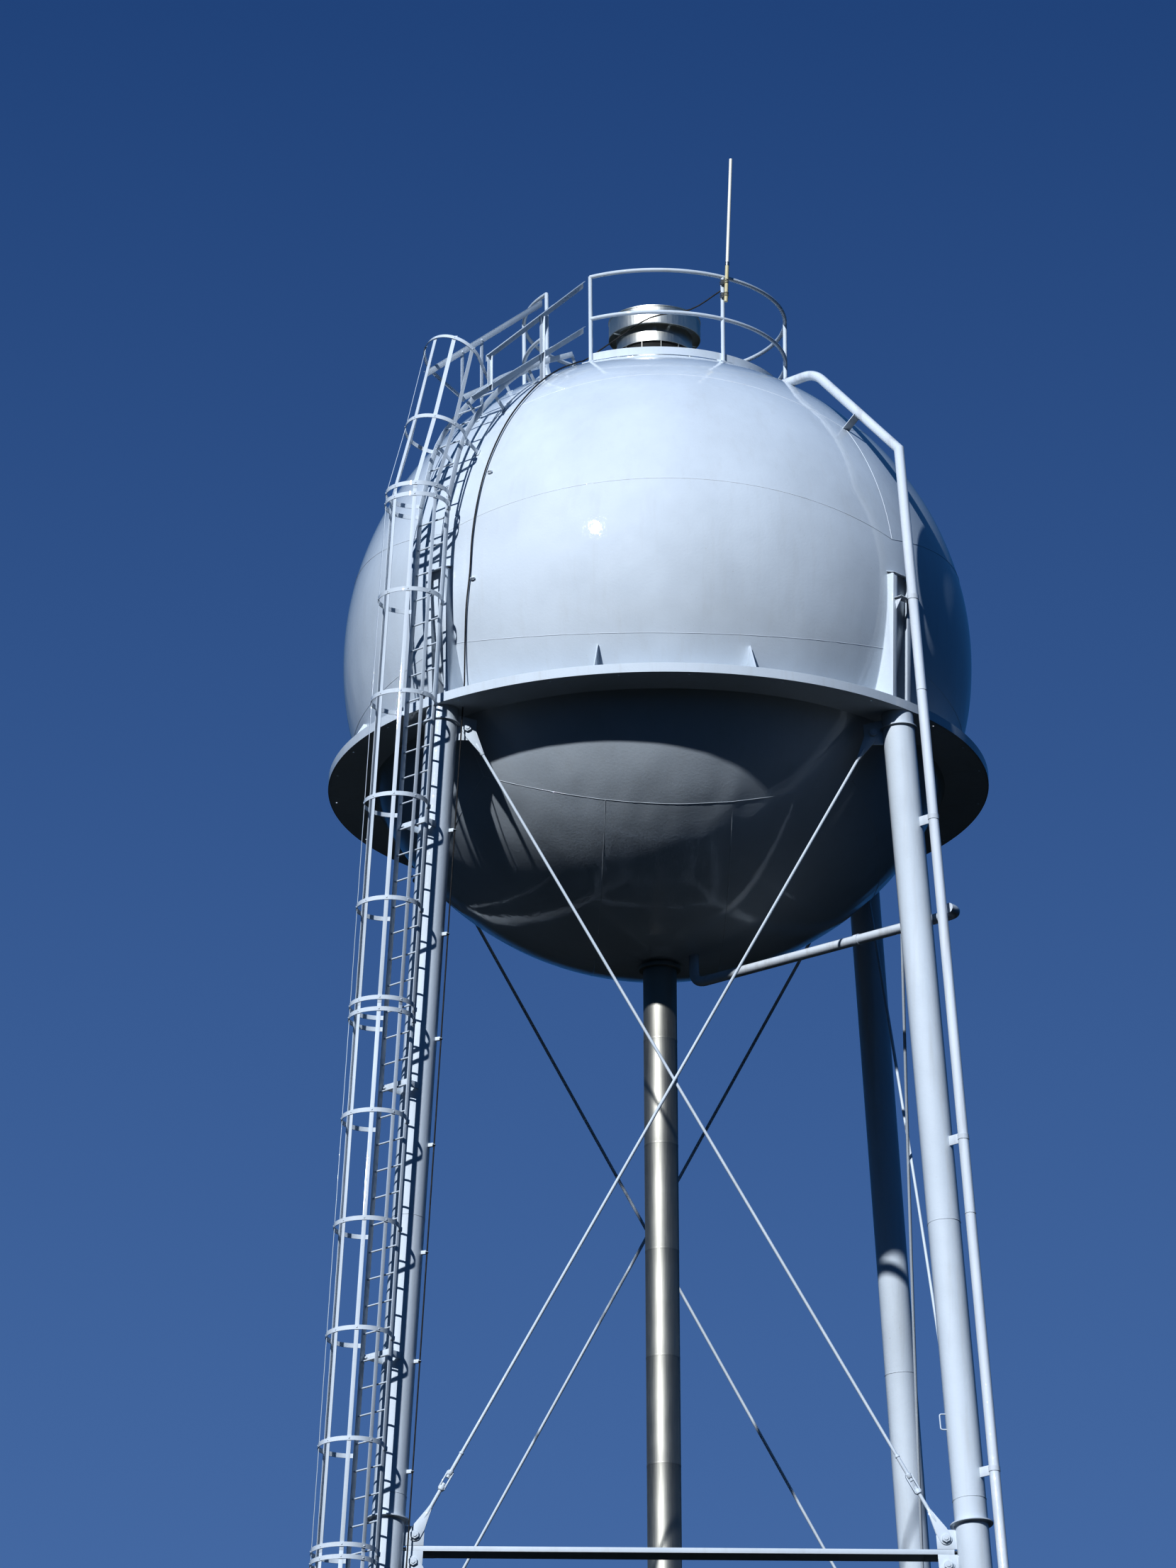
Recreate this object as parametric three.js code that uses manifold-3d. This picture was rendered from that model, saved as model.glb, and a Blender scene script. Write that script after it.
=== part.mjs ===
// Elevated water tank: a welded near-spherical tank on four battered tubular legs, with a balcony
// ring, a central riser, a caged ladder, a roof handrail, a vent, pipes and an antenna.
// Millimetres, +Z up, ground at z = 0, origin at the centre of the riser's foot, front face at -Y.

import * as THREE from 'three';
import { mergeVertices } from 'three/addons/utils/BufferGeometryUtils.js';
import Module from 'manifold-3d';

const wasm = await Module();
wasm.setup();

// Driving dimensions
const gap = 0.3;
const tankRadius = 3550;
const tankCentre = 32500;
const tankPlate = 10;
const tankSegments = 32;
const lowerSeam = -15;
const upperSeam = 12;
const ringHeight = 31052;
const legSpreadAtRing = 2488;
const legBatter = 0.0603;
const legRadius = 177.8;
const legWall = 12.7;
const legSegments = 16;
const strutLevels = [21434, 10900];
const rungPitch = 304.8;

const tankTop = tankCentre + tankRadius;
const legSpreadAtGround = legSpreadAtRing + legBatter * ringHeight;
const legSpread = (z) => legSpreadAtGround - legBatter * z;
const legReach = (z) => Math.SQRT2 * legSpread(z);
const radians = THREE.MathUtils.degToRad;

// Materials
const whitePaint = new THREE.MeshStandardMaterial({ color: 0xd9e3ea, roughness: 0.35, metalness: 0.0 });
const jacketSteel = new THREE.MeshStandardMaterial({ color: 0xb9bdc0, roughness: 0.3, metalness: 0.9 });
const pipePaint = new THREE.MeshStandardMaterial({ color: 0xdde6ec, roughness: 0.4, metalness: 0.0 });
const antennaWhite = new THREE.MeshStandardMaterial({ color: 0xeeeae0, roughness: 0.45, metalness: 0.0 });
const cableBlack = new THREE.MeshStandardMaterial({ color: 0x15171a, roughness: 0.6, metalness: 0.0 });

// Solids from three.js geometry, and back
function solid(geometry) {
  const bare = geometry.index ? geometry.toNonIndexed() : geometry.clone();
  bare.deleteAttribute('normal');
  bare.deleteAttribute('uv');
  const merged = mergeVertices(bare, 1e-3);
  const corners = merged.index.array;
  const triangles = [];
  for (let i = 0; i < corners.length; i += 3) {
    const [a, b, c] = [corners[i], corners[i + 1], corners[i + 2]];
    if (a !== b && b !== c && c !== a) triangles.push(a, b, c);
  }
  const vertProperties = new Float32Array(merged.attributes.position.array);
  const triVerts = new Uint32Array(triangles);
  return new wasm.Manifold(new wasm.Mesh({ numProp: 3, vertProperties, triVerts }));
}

function join(...geometries) {
  return geometries.map(solid).reduce((whole, piece) => whole.add(piece));
}

function geometryOf(body) {
  const mesh = body.getMesh();
  const geometry = new THREE.BufferGeometry();
  geometry.setAttribute('position', new THREE.BufferAttribute(mesh.vertProperties, 3));
  geometry.setIndex(new THREE.BufferAttribute(mesh.triVerts, 1));
  geometry.computeVertexNormals();
  return geometry;
}

// Basic forms
function box(x0, x1, y0, y1, z0, z1) {
  const form = new THREE.BoxGeometry(x1 - x0, y1 - y0, z1 - z0);
  return form.translate((x0 + x1) / 2, (y0 + y1) / 2, (z0 + z1) / 2);
}

// A profile of [radius, height] pairs turned about the vertical axis
function revolve(profile, segments) {
  const points = profile.map(([radius, height]) => new THREE.Vector2(radius, height));
  return new THREE.LatheGeometry(points, segments).rotateX(Math.PI / 2);
}

// A flat plate with its outline in the x-z plane, from y0 to y0 + thickness
function plateXZ(outline, y0, thickness) {
  const shape = new THREE.Shape(outline.map(([x, z]) => new THREE.Vector2(x, z)));
  const form = new THREE.ExtrudeGeometry(shape, { depth: thickness, bevelEnabled: false });
  return form.rotateX(Math.PI / 2).translate(0, y0 + thickness, 0);
}

// A bar with its section in the y-z plane, from x0 to x1
function barAlongX(section, x0, x1) {
  const shape = new THREE.Shape(section.map(([y, z]) => new THREE.Vector2(y, z)));
  const form = new THREE.ExtrudeGeometry(shape, { depth: x1 - x0, bevelEnabled: false });
  const turn = new THREE.Matrix4().makeBasis(
    new THREE.Vector3(0, 1, 0),
    new THREE.Vector3(0, 0, 1),
    new THREE.Vector3(1, 0, 0),
  );
  return form.applyMatrix4(turn).translate(x0, 0, 0);
}

function rodBetween(start, end, radius, sides) {
  const span = new THREE.Vector3().subVectors(end, start);
  const form = new THREE.CylinderGeometry(radius, radius, span.length(), sides);
  const turn = new THREE.Quaternion().setFromUnitVectors(
    new THREE.Vector3(0, 1, 0),
    span.clone().normalize(),
  );
  const middle = start.clone().add(end).multiplyScalar(0.5);
  return form.applyQuaternion(turn).translate(middle.x, middle.y, middle.z);
}

// A round tube along straight runs, with its corners rounded to bendRadius
function tubeAlong(corners, bendRadius, radius, sides) {
  const path = new THREE.CurvePath();
  let last = corners[0];
  for (let i = 1; i < corners.length - 1; i += 1) {
    const before = corners[i].clone().sub(corners[i - 1]).normalize();
    const after = corners[i + 1].clone().sub(corners[i]).normalize();
    const enter = corners[i].clone().addScaledVector(before, -bendRadius);
    const leave = corners[i].clone().addScaledVector(after, bendRadius);
    path.add(new THREE.LineCurve3(last, enter));
    path.add(new THREE.QuadraticBezierCurve3(enter, corners[i], leave));
    last = leave;
  }
  path.add(new THREE.LineCurve3(last, corners[corners.length - 1]));
  const stops = path.curves.flatMap((curve) => {
    const divisions = curve.isLineCurve3 ? 1 : 4;
    return curve.getPoints(divisions).slice(0, divisions);
  });
  stops.push(corners[corners.length - 1]);
  return tubeThrough(stops, radius, sides);
}

// A round tube with a ring of its section at each stop
function tubeThrough(stops, radius, sides) {
  const joints = stops.length - 1;
  const route = new THREE.CurvePath();
  for (let i = 0; i < joints; i += 1) route.add(new THREE.LineCurve3(stops[i], stops[i + 1]));
  const even = new THREE.Curve();
  even.getPointAt = (t) => {
    const place = Math.min(t * joints, joints - 1e-9);
    const index = Math.floor(place);
    return stops[index].clone().lerp(stops[index + 1], place - index);
  };
  even.getPoint = even.getPointAt;
  even.getTangentAt = (t) => {
    const index = Math.round(t * joints);
    const back = stops[Math.max(index - 1, 0)];
    const ahead = stops[Math.min(index + 1, joints)];
    return ahead.clone().sub(back).normalize();
  };
  even.getTangent = even.getTangentAt;
  const section = new THREE.Shape();
  for (let i = 0; i < sides; i += 1) {
    const angle = (2 * Math.PI * i) / sides;
    const [x, y] = [radius * Math.cos(angle), radius * Math.sin(angle)];
    if (i === 0) section.moveTo(x, y);
    else section.lineTo(x, y);
  }
  return new THREE.ExtrudeGeometry(section, { steps: joints, extrudePath: even, bevelEnabled: false });
}

// A point given by its distance from the tower's axis, its azimuth (0 at -Y, 90 at +X) and its height
function polar(radius, azimuth, z) {
  const angle = radians(azimuth);
  return new THREE.Vector3(radius * Math.sin(angle), -radius * Math.cos(angle), z);
}

// Frames that lean with the legs
const quarterTurn = (count) => new THREE.Matrix4().makeRotationZ((count * Math.PI) / 2);

// x and y are offsets from the front right leg's axis
const legFrame = new THREE.Matrix4().set(
  1, 0, -legBatter, legSpreadAtGround,
  0, 1, legBatter, -legSpreadAtGround,
  0, 0, 1, 0,
  0, 0, 0, 1,
);

// y is the offset from the plane through the two front legs' axes, inwards
const faceFrame = new THREE.Matrix4().set(
  1, 0, 0, 0,
  0, 1, legBatter, -legSpreadAtGround,
  0, 0, 1, 0,
  0, 0, 0, 1,
);

// x is the outward offset from a leg's axis, y is across it
const radialLean = new THREE.Matrix4().set(
  1, 0, -Math.SQRT2 * legBatter, Math.SQRT2 * legSpreadAtGround,
  0, 1, 0, 0,
  0, 0, 1, 0,
  0, 0, 0, 1,
);
const ladderFrame = new THREE.Matrix4().makeRotationZ(radians(-135)).multiply(radialLean);
const overflowFrame = new THREE.Matrix4().makeRotationZ(radians(-45)).multiply(radialLean);

// x is the distance from the tower's axis towards the front left leg
const accessFrame = new THREE.Matrix4().makeRotationZ(radians(-135));

// x is the distance from the tower's axis towards the front right leg
const outletFrame = new THREE.Matrix4().makeRotationZ(radians(-45));

const tower = new THREE.Group();

function addPart(name, body, material, frame) {
  const geometry = geometryOf(body);
  if (frame) geometry.applyMatrix4(frame);
  const mesh = new THREE.Mesh(geometry, material);
  mesh.name = name;
  tower.add(mesh);
}

// Tank: three courses of curved plate that meet at the two weld seams
function arcPoints(radius, from, to, steps) {
  const points = [];
  for (let i = 0; i <= steps; i += 1) {
    const latitude = radians(from + ((to - from) * i) / steps);
    const across = radius * Math.cos(latitude);
    points.push([Math.abs(across) < 1e-6 ? 0 : across, tankCentre + radius * Math.sin(latitude)]);
  }
  return points;
}

const courses = [
  { name: 'tank_bowl', from: -90, to: lowerSeam, steps: 8 },
  { name: 'tank_shell', from: lowerSeam, to: upperSeam, steps: 3 },
  { name: 'tank_roof', from: upperSeam, to: 90, steps: 8 },
];
const seamGap = THREE.MathUtils.radToDeg(gap / 2 / tankRadius);

function tankCourse({ from, to, steps }) {
  const low = from === -90 ? from : from + seamGap;
  const high = to === 90 ? to : to - seamGap;
  const outer = arcPoints(tankRadius, low, high, steps);
  const inner = arcPoints(tankRadius - tankPlate, low, high, steps).reverse();
  const profile = [...outer, ...inner];
  if (from !== -90) profile.push(outer[0]);
  return solid(revolve(profile, tankSegments).rotateZ(Math.PI / tankSegments));
}

for (const course of courses) addPart(course.name, tankCourse(course), whitePaint);

// The tank's outside with a hair's clearance, for cutting what is welded to it
const tankClearance = (() => {
  const radius = tankRadius + gap;
  const profile = courses.flatMap(({ from, to, steps }) => arcPoints(radius, from, to, steps).slice(0, steps));
  profile.push([0, tankCentre + radius]);
  return solid(revolve(profile, tankSegments).rotateZ(Math.PI / tankSegments));
})();

// The same for a leg, upright about its own axis
const legClearance = (() => {
  const radius = legRadius + gap / Math.cos(Math.PI / legSegments);
  const profile = [[0, -100], [radius, -100], [radius, 31200], [0, 31200]];
  return solid(revolve(profile, legSegments).rotateZ(Math.PI / legSegments));
})();

// Balcony ring: a flat plate with an outer curb, and stiffeners that stand on it against the tank
const ring = {
  inner: 3150,
  outer: 3710,
  bottom: 31002,
  plate: 10,
  curbTop: 31110,
  curb: 10,
  stiffenerAzimuths: [14, 76, 104, 166, 194, 256, 284, 346],
  stiffenerTop: 31340,
  stiffener: 12,
};
ring.top = ring.bottom + ring.plate;

function balconyRing(cableHole) {
  const { inner, outer, bottom, top, curbTop, curb } = ring;
  const profile = [
    [inner, bottom],
    [outer, bottom],
    [outer, curbTop],
    [outer - curb, curbTop],
    [outer - curb, top],
    [inner, top],
    [inner, bottom],
  ];
  const outline = [
    [3180, top - 1],
    [3690, top - 1],
    [3690, top + 30],
    [3480, ring.stiffenerTop],
    [3280, ring.stiffenerTop],
  ];
  let body = solid(revolve(profile, 32));
  for (const azimuth of ring.stiffenerAzimuths) {
    const stiffener = plateXZ(outline, -ring.stiffener / 2, ring.stiffener);
    stiffener.rotateZ(radians(azimuth - 90));
    body = body.add(solid(stiffener));
  }
  return body.subtract(tankClearance).subtract(solid(cableHole));
}

// Legs: hollow pipes with collar discs, gussets for the rods and seats for the struts, each on a
// base plate with ribs
const leg = {
  top: ring.bottom - gap,
  basePlate: 38,
  baseHalf: 310,
  disc: 16,
  discs: [
    { z: 11166, radius: 228 },
    { z: 21700, radius: 228 },
    { z: 30820, radius: 205 },
  ],
};
const strut = { web: 8, depth: 200, outerLip: 57, innerLip: 80, lip: 10, endGap: 27 };
const gusset = { root: -170, reach: -385, corner: -330, thickness: 16 };
const pin = { offset: 284, aboveStrut: 115, belowStrut: 177, top: 30784, base: 330 };

function legPipe() {
  const inner = legRadius - legWall;
  const start = leg.basePlate + gap;
  const profile = [[inner, start], [legRadius, start]];
  for (const { z, radius } of leg.discs) {
    profile.push([legRadius, z], [radius, z], [radius, z + leg.disc], [legRadius, z + leg.disc]);
  }
  profile.push([legRadius, leg.top], [inner, leg.top], [inner, start]);
  return revolve(profile, legSegments).rotateZ(Math.PI / legSegments);
}

function gussetOutlines() {
  const { root, reach, corner } = gusset;
  const foot = leg.basePlate + gap;
  const outlines = [
    [[root, 30640], [corner, 30640], [reach, 30700], [reach, 30880], [root, 30940]],
    [[root, foot], [-300, foot], [reach, 200], [reach, 380], [corner, 450], [root, 450]],
  ];
  for (const level of strutLevels) {
    const above = level + gap;
    const below = level - strut.outerLip - gap;
    outlines.push([[root, above], [reach, above], [reach, level + 150], [corner, level + 215], [root, level + 215]]);
    outlines.push([[root, below - 208], [corner, below - 208], [reach, below - 143], [reach, below], [root, below]]);
  }
  return outlines;
}

function legBody() {
  const pieces = [legPipe()];
  for (const outline of gussetOutlines()) {
    const half = gusset.thickness / 2;
    pieces.push(plateXZ(outline, -half, gusset.thickness));
    pieces.push(plateXZ(outline, -half, gusset.thickness).rotateZ(-Math.PI / 2));
  }
  for (const level of strutLevels) {
    const seatTop = level - strut.web - gap;
    pieces.push(box(-370, -160, 20, 170, seatTop - 12, seatTop));
    pieces.push(box(-170, -20, 160, 370, seatTop - 12, seatTop));
  }
  return join(...pieces);
}

function basePlate() {
  const ribs = [];
  for (let i = 0; i < 4; i += 1) {
    const rib = plateXZ([[170, 30], [300, 30], [300, 60], [200, 260], [170, 260]], -7, 14);
    ribs.push(rib.rotateZ(radians(45 + 90 * i)));
  }
  const plate = box(-leg.baseHalf, leg.baseHalf, -leg.baseHalf, leg.baseHalf, 0, leg.basePlate);
  return join(...ribs).subtract(legClearance).add(solid(plate));
}

const corners = ['front_right', 'back_right', 'back_left', 'front_left'];
const oneLeg = legBody();
const oneBase = basePlate();
corners.forEach((corner, count) => {
  const frame = quarterTurn(count).multiply(legFrame);
  addPart(`leg_${corner}`, oneLeg, whitePaint, frame);
  addPart(`base_plate_${corner}`, oneBase, whitePaint, frame);
});

// Struts: channels that lie flat between the legs, their lips turned down
function strutBody(level) {
  const { web, depth, outerLip, innerLip, lip, endGap } = strut;
  const section = [
    [-lip / 2, level - outerLip],
    [lip / 2, level - outerLip],
    [lip / 2, level - web],
    [depth - web, level - web],
    [depth - web, level - innerLip],
    [depth, level - innerLip],
    [depth, level],
    [-lip / 2, level],
  ];
  const half = legSpread(level) - legRadius - endGap;
  return solid(barAlongX(section, -half, half));
}

// Tie rods: round bars with a fork at each end that straddles a gusset, and a turnbuckle near the foot
const rod = {
  radius: 20,
  sides: 4,
  forkWidth: 62,
  forkLength: 330,
  forkHalf: 20.5,
  slotHalf: gusset.thickness / 2 + gap,
  slotReach: 165,
  turnbuckle: { start: 560, end: 810, radius: 44 },
};

function tieRod(foot, head) {
  const length = foot.distanceTo(head);
  const { forkWidth, forkLength, forkHalf, slotHalf, slotReach, radius, sides, turnbuckle } = rod;
  const outline = [
    [-forkWidth * 0.8, -forkWidth * 0.8],
    [120, -forkWidth],
    [forkLength, -radius * 0.8],
    [forkLength, radius * 0.8],
    [120, forkWidth],
    [-forkWidth * 0.8, forkWidth * 0.8],
  ];
  const fork = () => plateXZ(outline, -forkHalf, 2 * forkHalf);
  const slot = () => box(-100, slotReach, -slotHalf, slotHalf, -100, 100);
  const place = (form) => form.rotateY(Math.PI).translate(length, 0, 0);
  const barEnd = forkLength - 60;
  const profile = [
    [0, barEnd],
    [radius, barEnd],
    [radius, turnbuckle.start],
    [turnbuckle.radius, turnbuckle.start],
    [turnbuckle.radius, turnbuckle.end],
    [radius, turnbuckle.end],
    [radius, length - barEnd],
    [0, length - barEnd],
  ];
  const bar = revolve(profile, sides).rotateZ(Math.PI / sides).rotateY(Math.PI / 2);
  const body = join(fork(), place(fork()), bar).subtract(solid(slot())).subtract(solid(place(slot())));
  const direction = new THREE.Vector3().subVectors(head, foot).normalize();
  const turn = new THREE.Matrix4().makeRotationY(Math.atan2(-direction.z, direction.x)).setPosition(foot);
  return solid(geometryOf(body).applyMatrix4(turn));
}

const panels = [
  { name: 'top', head: pin.top, foot: strutLevels[0] + pin.aboveStrut },
  { name: 'middle', head: strutLevels[0] - pin.belowStrut, foot: strutLevels[1] + pin.aboveStrut },
  { name: 'bottom', head: strutLevels[1] - pin.belowStrut, foot: pin.base },
];

function rodPair({ head, foot }) {
  const pinAt = (side, z) => new THREE.Vector3(side * (legSpread(z) - pin.offset), 0, z);
  return tieRod(pinAt(1, foot), pinAt(-1, head)).add(tieRod(pinAt(-1, foot), pinAt(1, head)));
}

const faceNames = ['front', 'right', 'back', 'left'];
const strutBodies = strutLevels.map(strutBody);
const rodBodies = panels.map(rodPair);
faceNames.forEach((face, count) => {
  const frame = quarterTurn(count).multiply(faceFrame);
  addPart(`strut_${face}_upper`, strutBodies[0], whitePaint, frame);
  addPart(`strut_${face}_lower`, strutBodies[1], whitePaint, frame);
  panels.forEach(({ name }, i) => addPart(`rods_${face}_${name}`, rodBodies[i], whitePaint, frame));
});

// Column heads: paired plates with turned-in flanges, welded to the tank above each leg
const head = { half: 150, plate: 12, flange: 90, outer: 3620, top: 32640, cap: 12 };

function columnHead() {
  const bottom = ring.top + gap;
  const outline = [[3150, bottom], [head.outer, bottom], [head.outer, head.top], [3300, head.top]];
  const flangeStart = head.outer - head.plate;
  const capStart = head.top - 2;
  const body = join(
    plateXZ(outline, -head.half, head.plate),
    plateXZ(outline, head.half - head.plate, head.plate),
    box(flangeStart, head.outer, -head.half, -head.flange, bottom, head.top),
    box(flangeStart, head.outer, head.flange, head.half, bottom, head.top),
    box(3400, head.outer + 20, -head.half - 12, head.half + 12, capStart, capStart + head.cap),
  );
  return body.subtract(tankClearance);
}

const oneHead = columnHead();
corners.forEach((corner, count) => {
  addPart(`column_head_${corner}`, oneHead, whitePaint, quarterTurn(count).multiply(outletFrame));
});

// Riser: a jacketed pipe from the ground to the bowl, with a flanged foot and a collar at the top
function riserPipe() {
  const profile = [
    [0, 0], [320, 0], [320, 40], [188, 40], [188, 28880], [232, 28880], [232, 28920], [188, 28920], [188, 29100], [0, 29100],
  ];
  return solid(revolve(profile, 16)).subtract(tankClearance);
}
addPart('riser_pipe', riserPipe(), jacketSteel);

// Roof handrail: posts, top rail, mid rail and toe board, open where the ladder arrives
const handrail = {
  radius: 1500,
  pipe: 24,
  top: tankTop + 715,
  middle: tankTop + 195,
  posts: [-58, -32, 28, 88, 148, 208, 268],
  entry: [-57.5, -32.5],
  toeBoard: { inner: 1478, outer: 1486, bottom: tankTop - 318, top: tankTop - 225 },
};

function roofHandrail() {
  const { radius, pipe, top, middle, posts, entry, toeBoard } = handrail;
  const hoop = (z) => {
    const section = [];
    for (let i = 0; i <= 6; i += 1) {
      const angle = radians(60 * i);
      section.push([radius + pipe * Math.cos(angle), z + pipe * Math.sin(angle)]);
    }
    return revolve(section, 24);
  };
  const board = revolve([
    [toeBoard.inner, toeBoard.bottom],
    [toeBoard.outer, toeBoard.bottom],
    [toeBoard.outer, toeBoard.top],
    [toeBoard.inner, toeBoard.top],
    [toeBoard.inner, toeBoard.bottom],
  ], 24);
  const wedge = new THREE.Shape([
    new THREE.Vector2(0, 0),
    ...entry.map((azimuth) => {
      const edge = polar(2 * radius, azimuth, 0);
      return new THREE.Vector2(edge.x, edge.y);
    }),
  ]);
  const opening = new THREE.ExtrudeGeometry(wedge, { depth: 2000, bevelEnabled: false });
  opening.translate(0, 0, tankTop - 600);
  let body = join(hoop(top), hoop(middle), board).subtract(solid(opening));
  for (const azimuth of posts) {
    const post = rodBetween(polar(radius, azimuth, tankTop - 500), polar(radius, azimuth, top), pipe, 4);
    body = body.add(solid(post));
  }
  return body.subtract(tankClearance);
}
addPart('roof_handrail', roofHandrail(), whitePaint);

// Roof vent: a neck with a recessed screen, under a hood that is open below
const vent = { neck: 435, hood: 525, sheet: 6, band: tankTop + 319, hoodBottom: tankTop + 500, hoodTop: tankTop + 722 };

function ventNeck() {
  const { neck, band, hoodTop } = vent;
  const profile = [
    [0, tankTop - 100],
    [neck, tankTop - 100],
    [neck, band - 106],
    [neck - 25, band - 106],
    [neck - 25, band],
    [neck, band],
    [neck, hoodTop - 12 - gap],
    [0, hoodTop - 12 - gap],
  ];
  return solid(revolve(profile, 20)).subtract(tankClearance);
}

function ventHood() {
  const { hood, sheet, hoodBottom, hoodTop } = vent;
  const profile = [
    [0, hoodTop - 12],
    [hood - sheet, hoodTop - 12],
    [hood - sheet, hoodBottom],
    [hood, hoodBottom],
    [hood, hoodTop],
    [hood - 160, hoodTop + 34],
    [0, hoodTop + 50],
  ];
  return solid(revolve(profile, 20));
}
addPart('vent_neck', ventNeck(), jacketSteel);
addPart('vent_hood', ventHood(), jacketSteel);

// Ladder up the front left leg, at the legs' batter, in lengths with arms back to the leg
const ladder = {
  offset: 340,
  half: 203,
  bar: 10,
  depth: 64,
  bottom: 420,
  kink: tankCentre + 900,
  rung: 11,
  lengths: 5,
  firstArm: 2139,
  armsTo: ring.bottom - 1000,
};
const cageJoint = tankCentre + 862;
const cageSection = 20 * rungPitch;

function heights(from, to, start, pitch) {
  const found = [];
  for (let z = start; z < ladder.kink - 100; z += pitch) if (z > from && z < to) found.push(z);
  return found;
}

function ladderLength(from, to) {
  const { offset, half, bar, depth, bottom, rung } = ladder;
  const [inner, outer] = [offset - depth / 2, offset + depth / 2];
  const pieces = [box(inner, outer, -half - bar, -half, from, to), box(inner, outer, half, half + bar, from, to)];
  for (const z of heights(from, to, bottom + rungPitch / 2, rungPitch)) {
    pieces.push(rodBetween(new THREE.Vector3(offset, -half - 4, z), new THREE.Vector3(offset, half + 4, z), rung, 3));
  }
  for (const z of heights(from, Math.min(to, ladder.armsTo), ladder.firstArm, cageSection / 2)) {
    const reach = 90;
    pieces.push(box(reach, inner + 4, -130 - 12, -130, z - 38, z + 38));
    pieces.push(box(reach, inner + 4, 130, 130 + 12, z - 38, z + 38));
    pieces.push(box(inner - 10, inner + 4, -half - 4, half + 4, z - 38, z + 38));
  }
  return join(...pieces).subtract(legClearance);
}

for (let i = 0; i < ladder.lengths; i += 1) {
  const joint = (number) => cageJoint - (ladder.lengths - number) * cageSection;
  const from = i === 0 ? ladder.bottom : joint(i) + gap / 2;
  const to = i === ladder.lengths - 1 ? ladder.kink : joint(i + 1) - gap / 2;
  addPart(`ladder_length_${i + 1}`, ladderLength(from, to), whitePaint, ladderFrame);
}

// Ladder cage: flat hoops round upright straps, in lengths that each have a hoop near both ends,
// and a top that leans in over the tank's shoulder
const cage = {
  radius: 343,
  centre: ladder.offset + 276,
  hoopHeight: 50,
  hoop: 7,
  strap: 38,
  strapThickness: 6,
  steps: 7,
  sections: 5,
  hoopPitch: 4 * rungPitch,
  endHoop: 66,
  bend: 100,
};
cage.end = ladder.half + ladder.bar + 2 * gap;
cage.plainEnd = Math.sqrt(cage.radius ** 2 - cage.end ** 2);
cage.spread = 180 - THREE.MathUtils.radToDeg(Math.asin(cage.end / cage.radius));
cage.facet = cage.radius * Math.cos(radians(cage.spread / cage.steps));
cage.upper = [
  { reach: 3640, z: 34240, lean: 17, endReach: 262 },
  { reach: 3362, z: 35215, lean: 34, endReach: 500 },
];

const cageAngle = (i) => radians(-cage.spread + (2 * cage.spread * i) / cage.steps);

// A hoop round the origin whose ends stop beside the rails, endReach inwards of its centre
function hoopBand(endReach) {
  const inner = [[-endReach, -cage.end]];
  for (let i = 1; i < cage.steps; i += 1) {
    inner.push([cage.radius * Math.cos(cageAngle(i)), cage.radius * Math.sin(cageAngle(i))]);
  }
  inner.push([-endReach, cage.end]);
  const grow = 1 + cage.hoop / cage.radius;
  const outer = inner.map(([x, y]) => [x * grow, y * grow]).reverse();
  const shape = new THREE.Shape([...inner, ...outer].map(([x, y]) => new THREE.Vector2(x, y)));
  const form = new THREE.ExtrudeGeometry(shape, { depth: cage.hoopHeight, bevelEnabled: false });
  return form.translate(0, 0, -cage.hoopHeight / 2);
}

const levelHoop = (z) => hoopBand(cage.plainEnd).translate(cage.centre, 0, z);

function cageStrap(i, from, to) {
  const section = new THREE.Shape([
    new THREE.Vector2(cage.facet - cage.strapThickness, -cage.strap / 2),
    new THREE.Vector2(cage.facet + cage.hoop / 2, 0),
    new THREE.Vector2(cage.facet - cage.strapThickness, cage.strap / 2),
  ]);
  const form = new THREE.ExtrudeGeometry(section, { depth: to - from, bevelEnabled: false });
  return form.rotateZ(cageAngle(i + 0.5)).translate(cage.centre, 0, from);
}

const strapNumbers = Array.from({ length: cage.steps - 2 }, (_, i) => i + 1);

function cageLength(top) {
  const bottom = top - cageSection;
  const pieces = [levelHoop(top - cage.endHoop), levelHoop(bottom + cage.endHoop)];
  for (let z = top - cage.hoopPitch; z > bottom + 1; z -= cage.hoopPitch) pieces.push(levelHoop(z));
  strapNumbers.forEach((i) => pieces.push(cageStrap(i, bottom + gap / 2, top - gap / 2)));
  return join(...pieces);
}

function leaningCage() {
  const foot = cageJoint + cage.bend - 20;
  const start = { reach: legReach(foot) + cage.centre, z: foot, lean: 0 };
  const stations = [start, ...cage.upper].map(({ reach, z, lean, endReach }) => {
    const angle = radians(lean);
    const frame = new THREE.Matrix4().makeBasis(
      new THREE.Vector3(Math.cos(angle), 0, Math.sin(angle)),
      new THREE.Vector3(0, 1, 0),
      new THREE.Vector3(-Math.sin(angle), 0, Math.cos(angle)),
    ).setPosition(reach, 0, z);
    return { frame, endReach };
  });
  const pieces = stations.slice(1).map(({ frame, endReach }) => hoopBand(endReach).applyMatrix4(frame));
  strapNumbers.forEach((i) => {
    const angle = cageAngle(i + 0.5);
    const places = stations.map(({ frame }) => new THREE.Vector3(
      cage.facet * Math.cos(angle),
      cage.facet * Math.sin(angle),
      0,
    ).applyMatrix4(frame));
    const beyond = places[2].clone().sub(places[1]).setLength(40).add(places[2]);
    pieces.push(rodBetween(places[0], places[1], 14, 3), rodBetween(places[1], beyond, 14, 3));
  });
  return join(...pieces);
}

function cageTop() {
  const toLean = new THREE.Matrix4().copy(ladderFrame).invert().multiply(accessFrame);
  const leaning = solid(geometryOf(leaningCage()).applyMatrix4(toLean));
  const straps = strapNumbers.map((i) => cageStrap(i, cageJoint + gap / 2, cageJoint + cage.bend));
  return join(levelHoop(cageJoint + cage.endHoop), ...straps).add(leaning);
}

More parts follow.
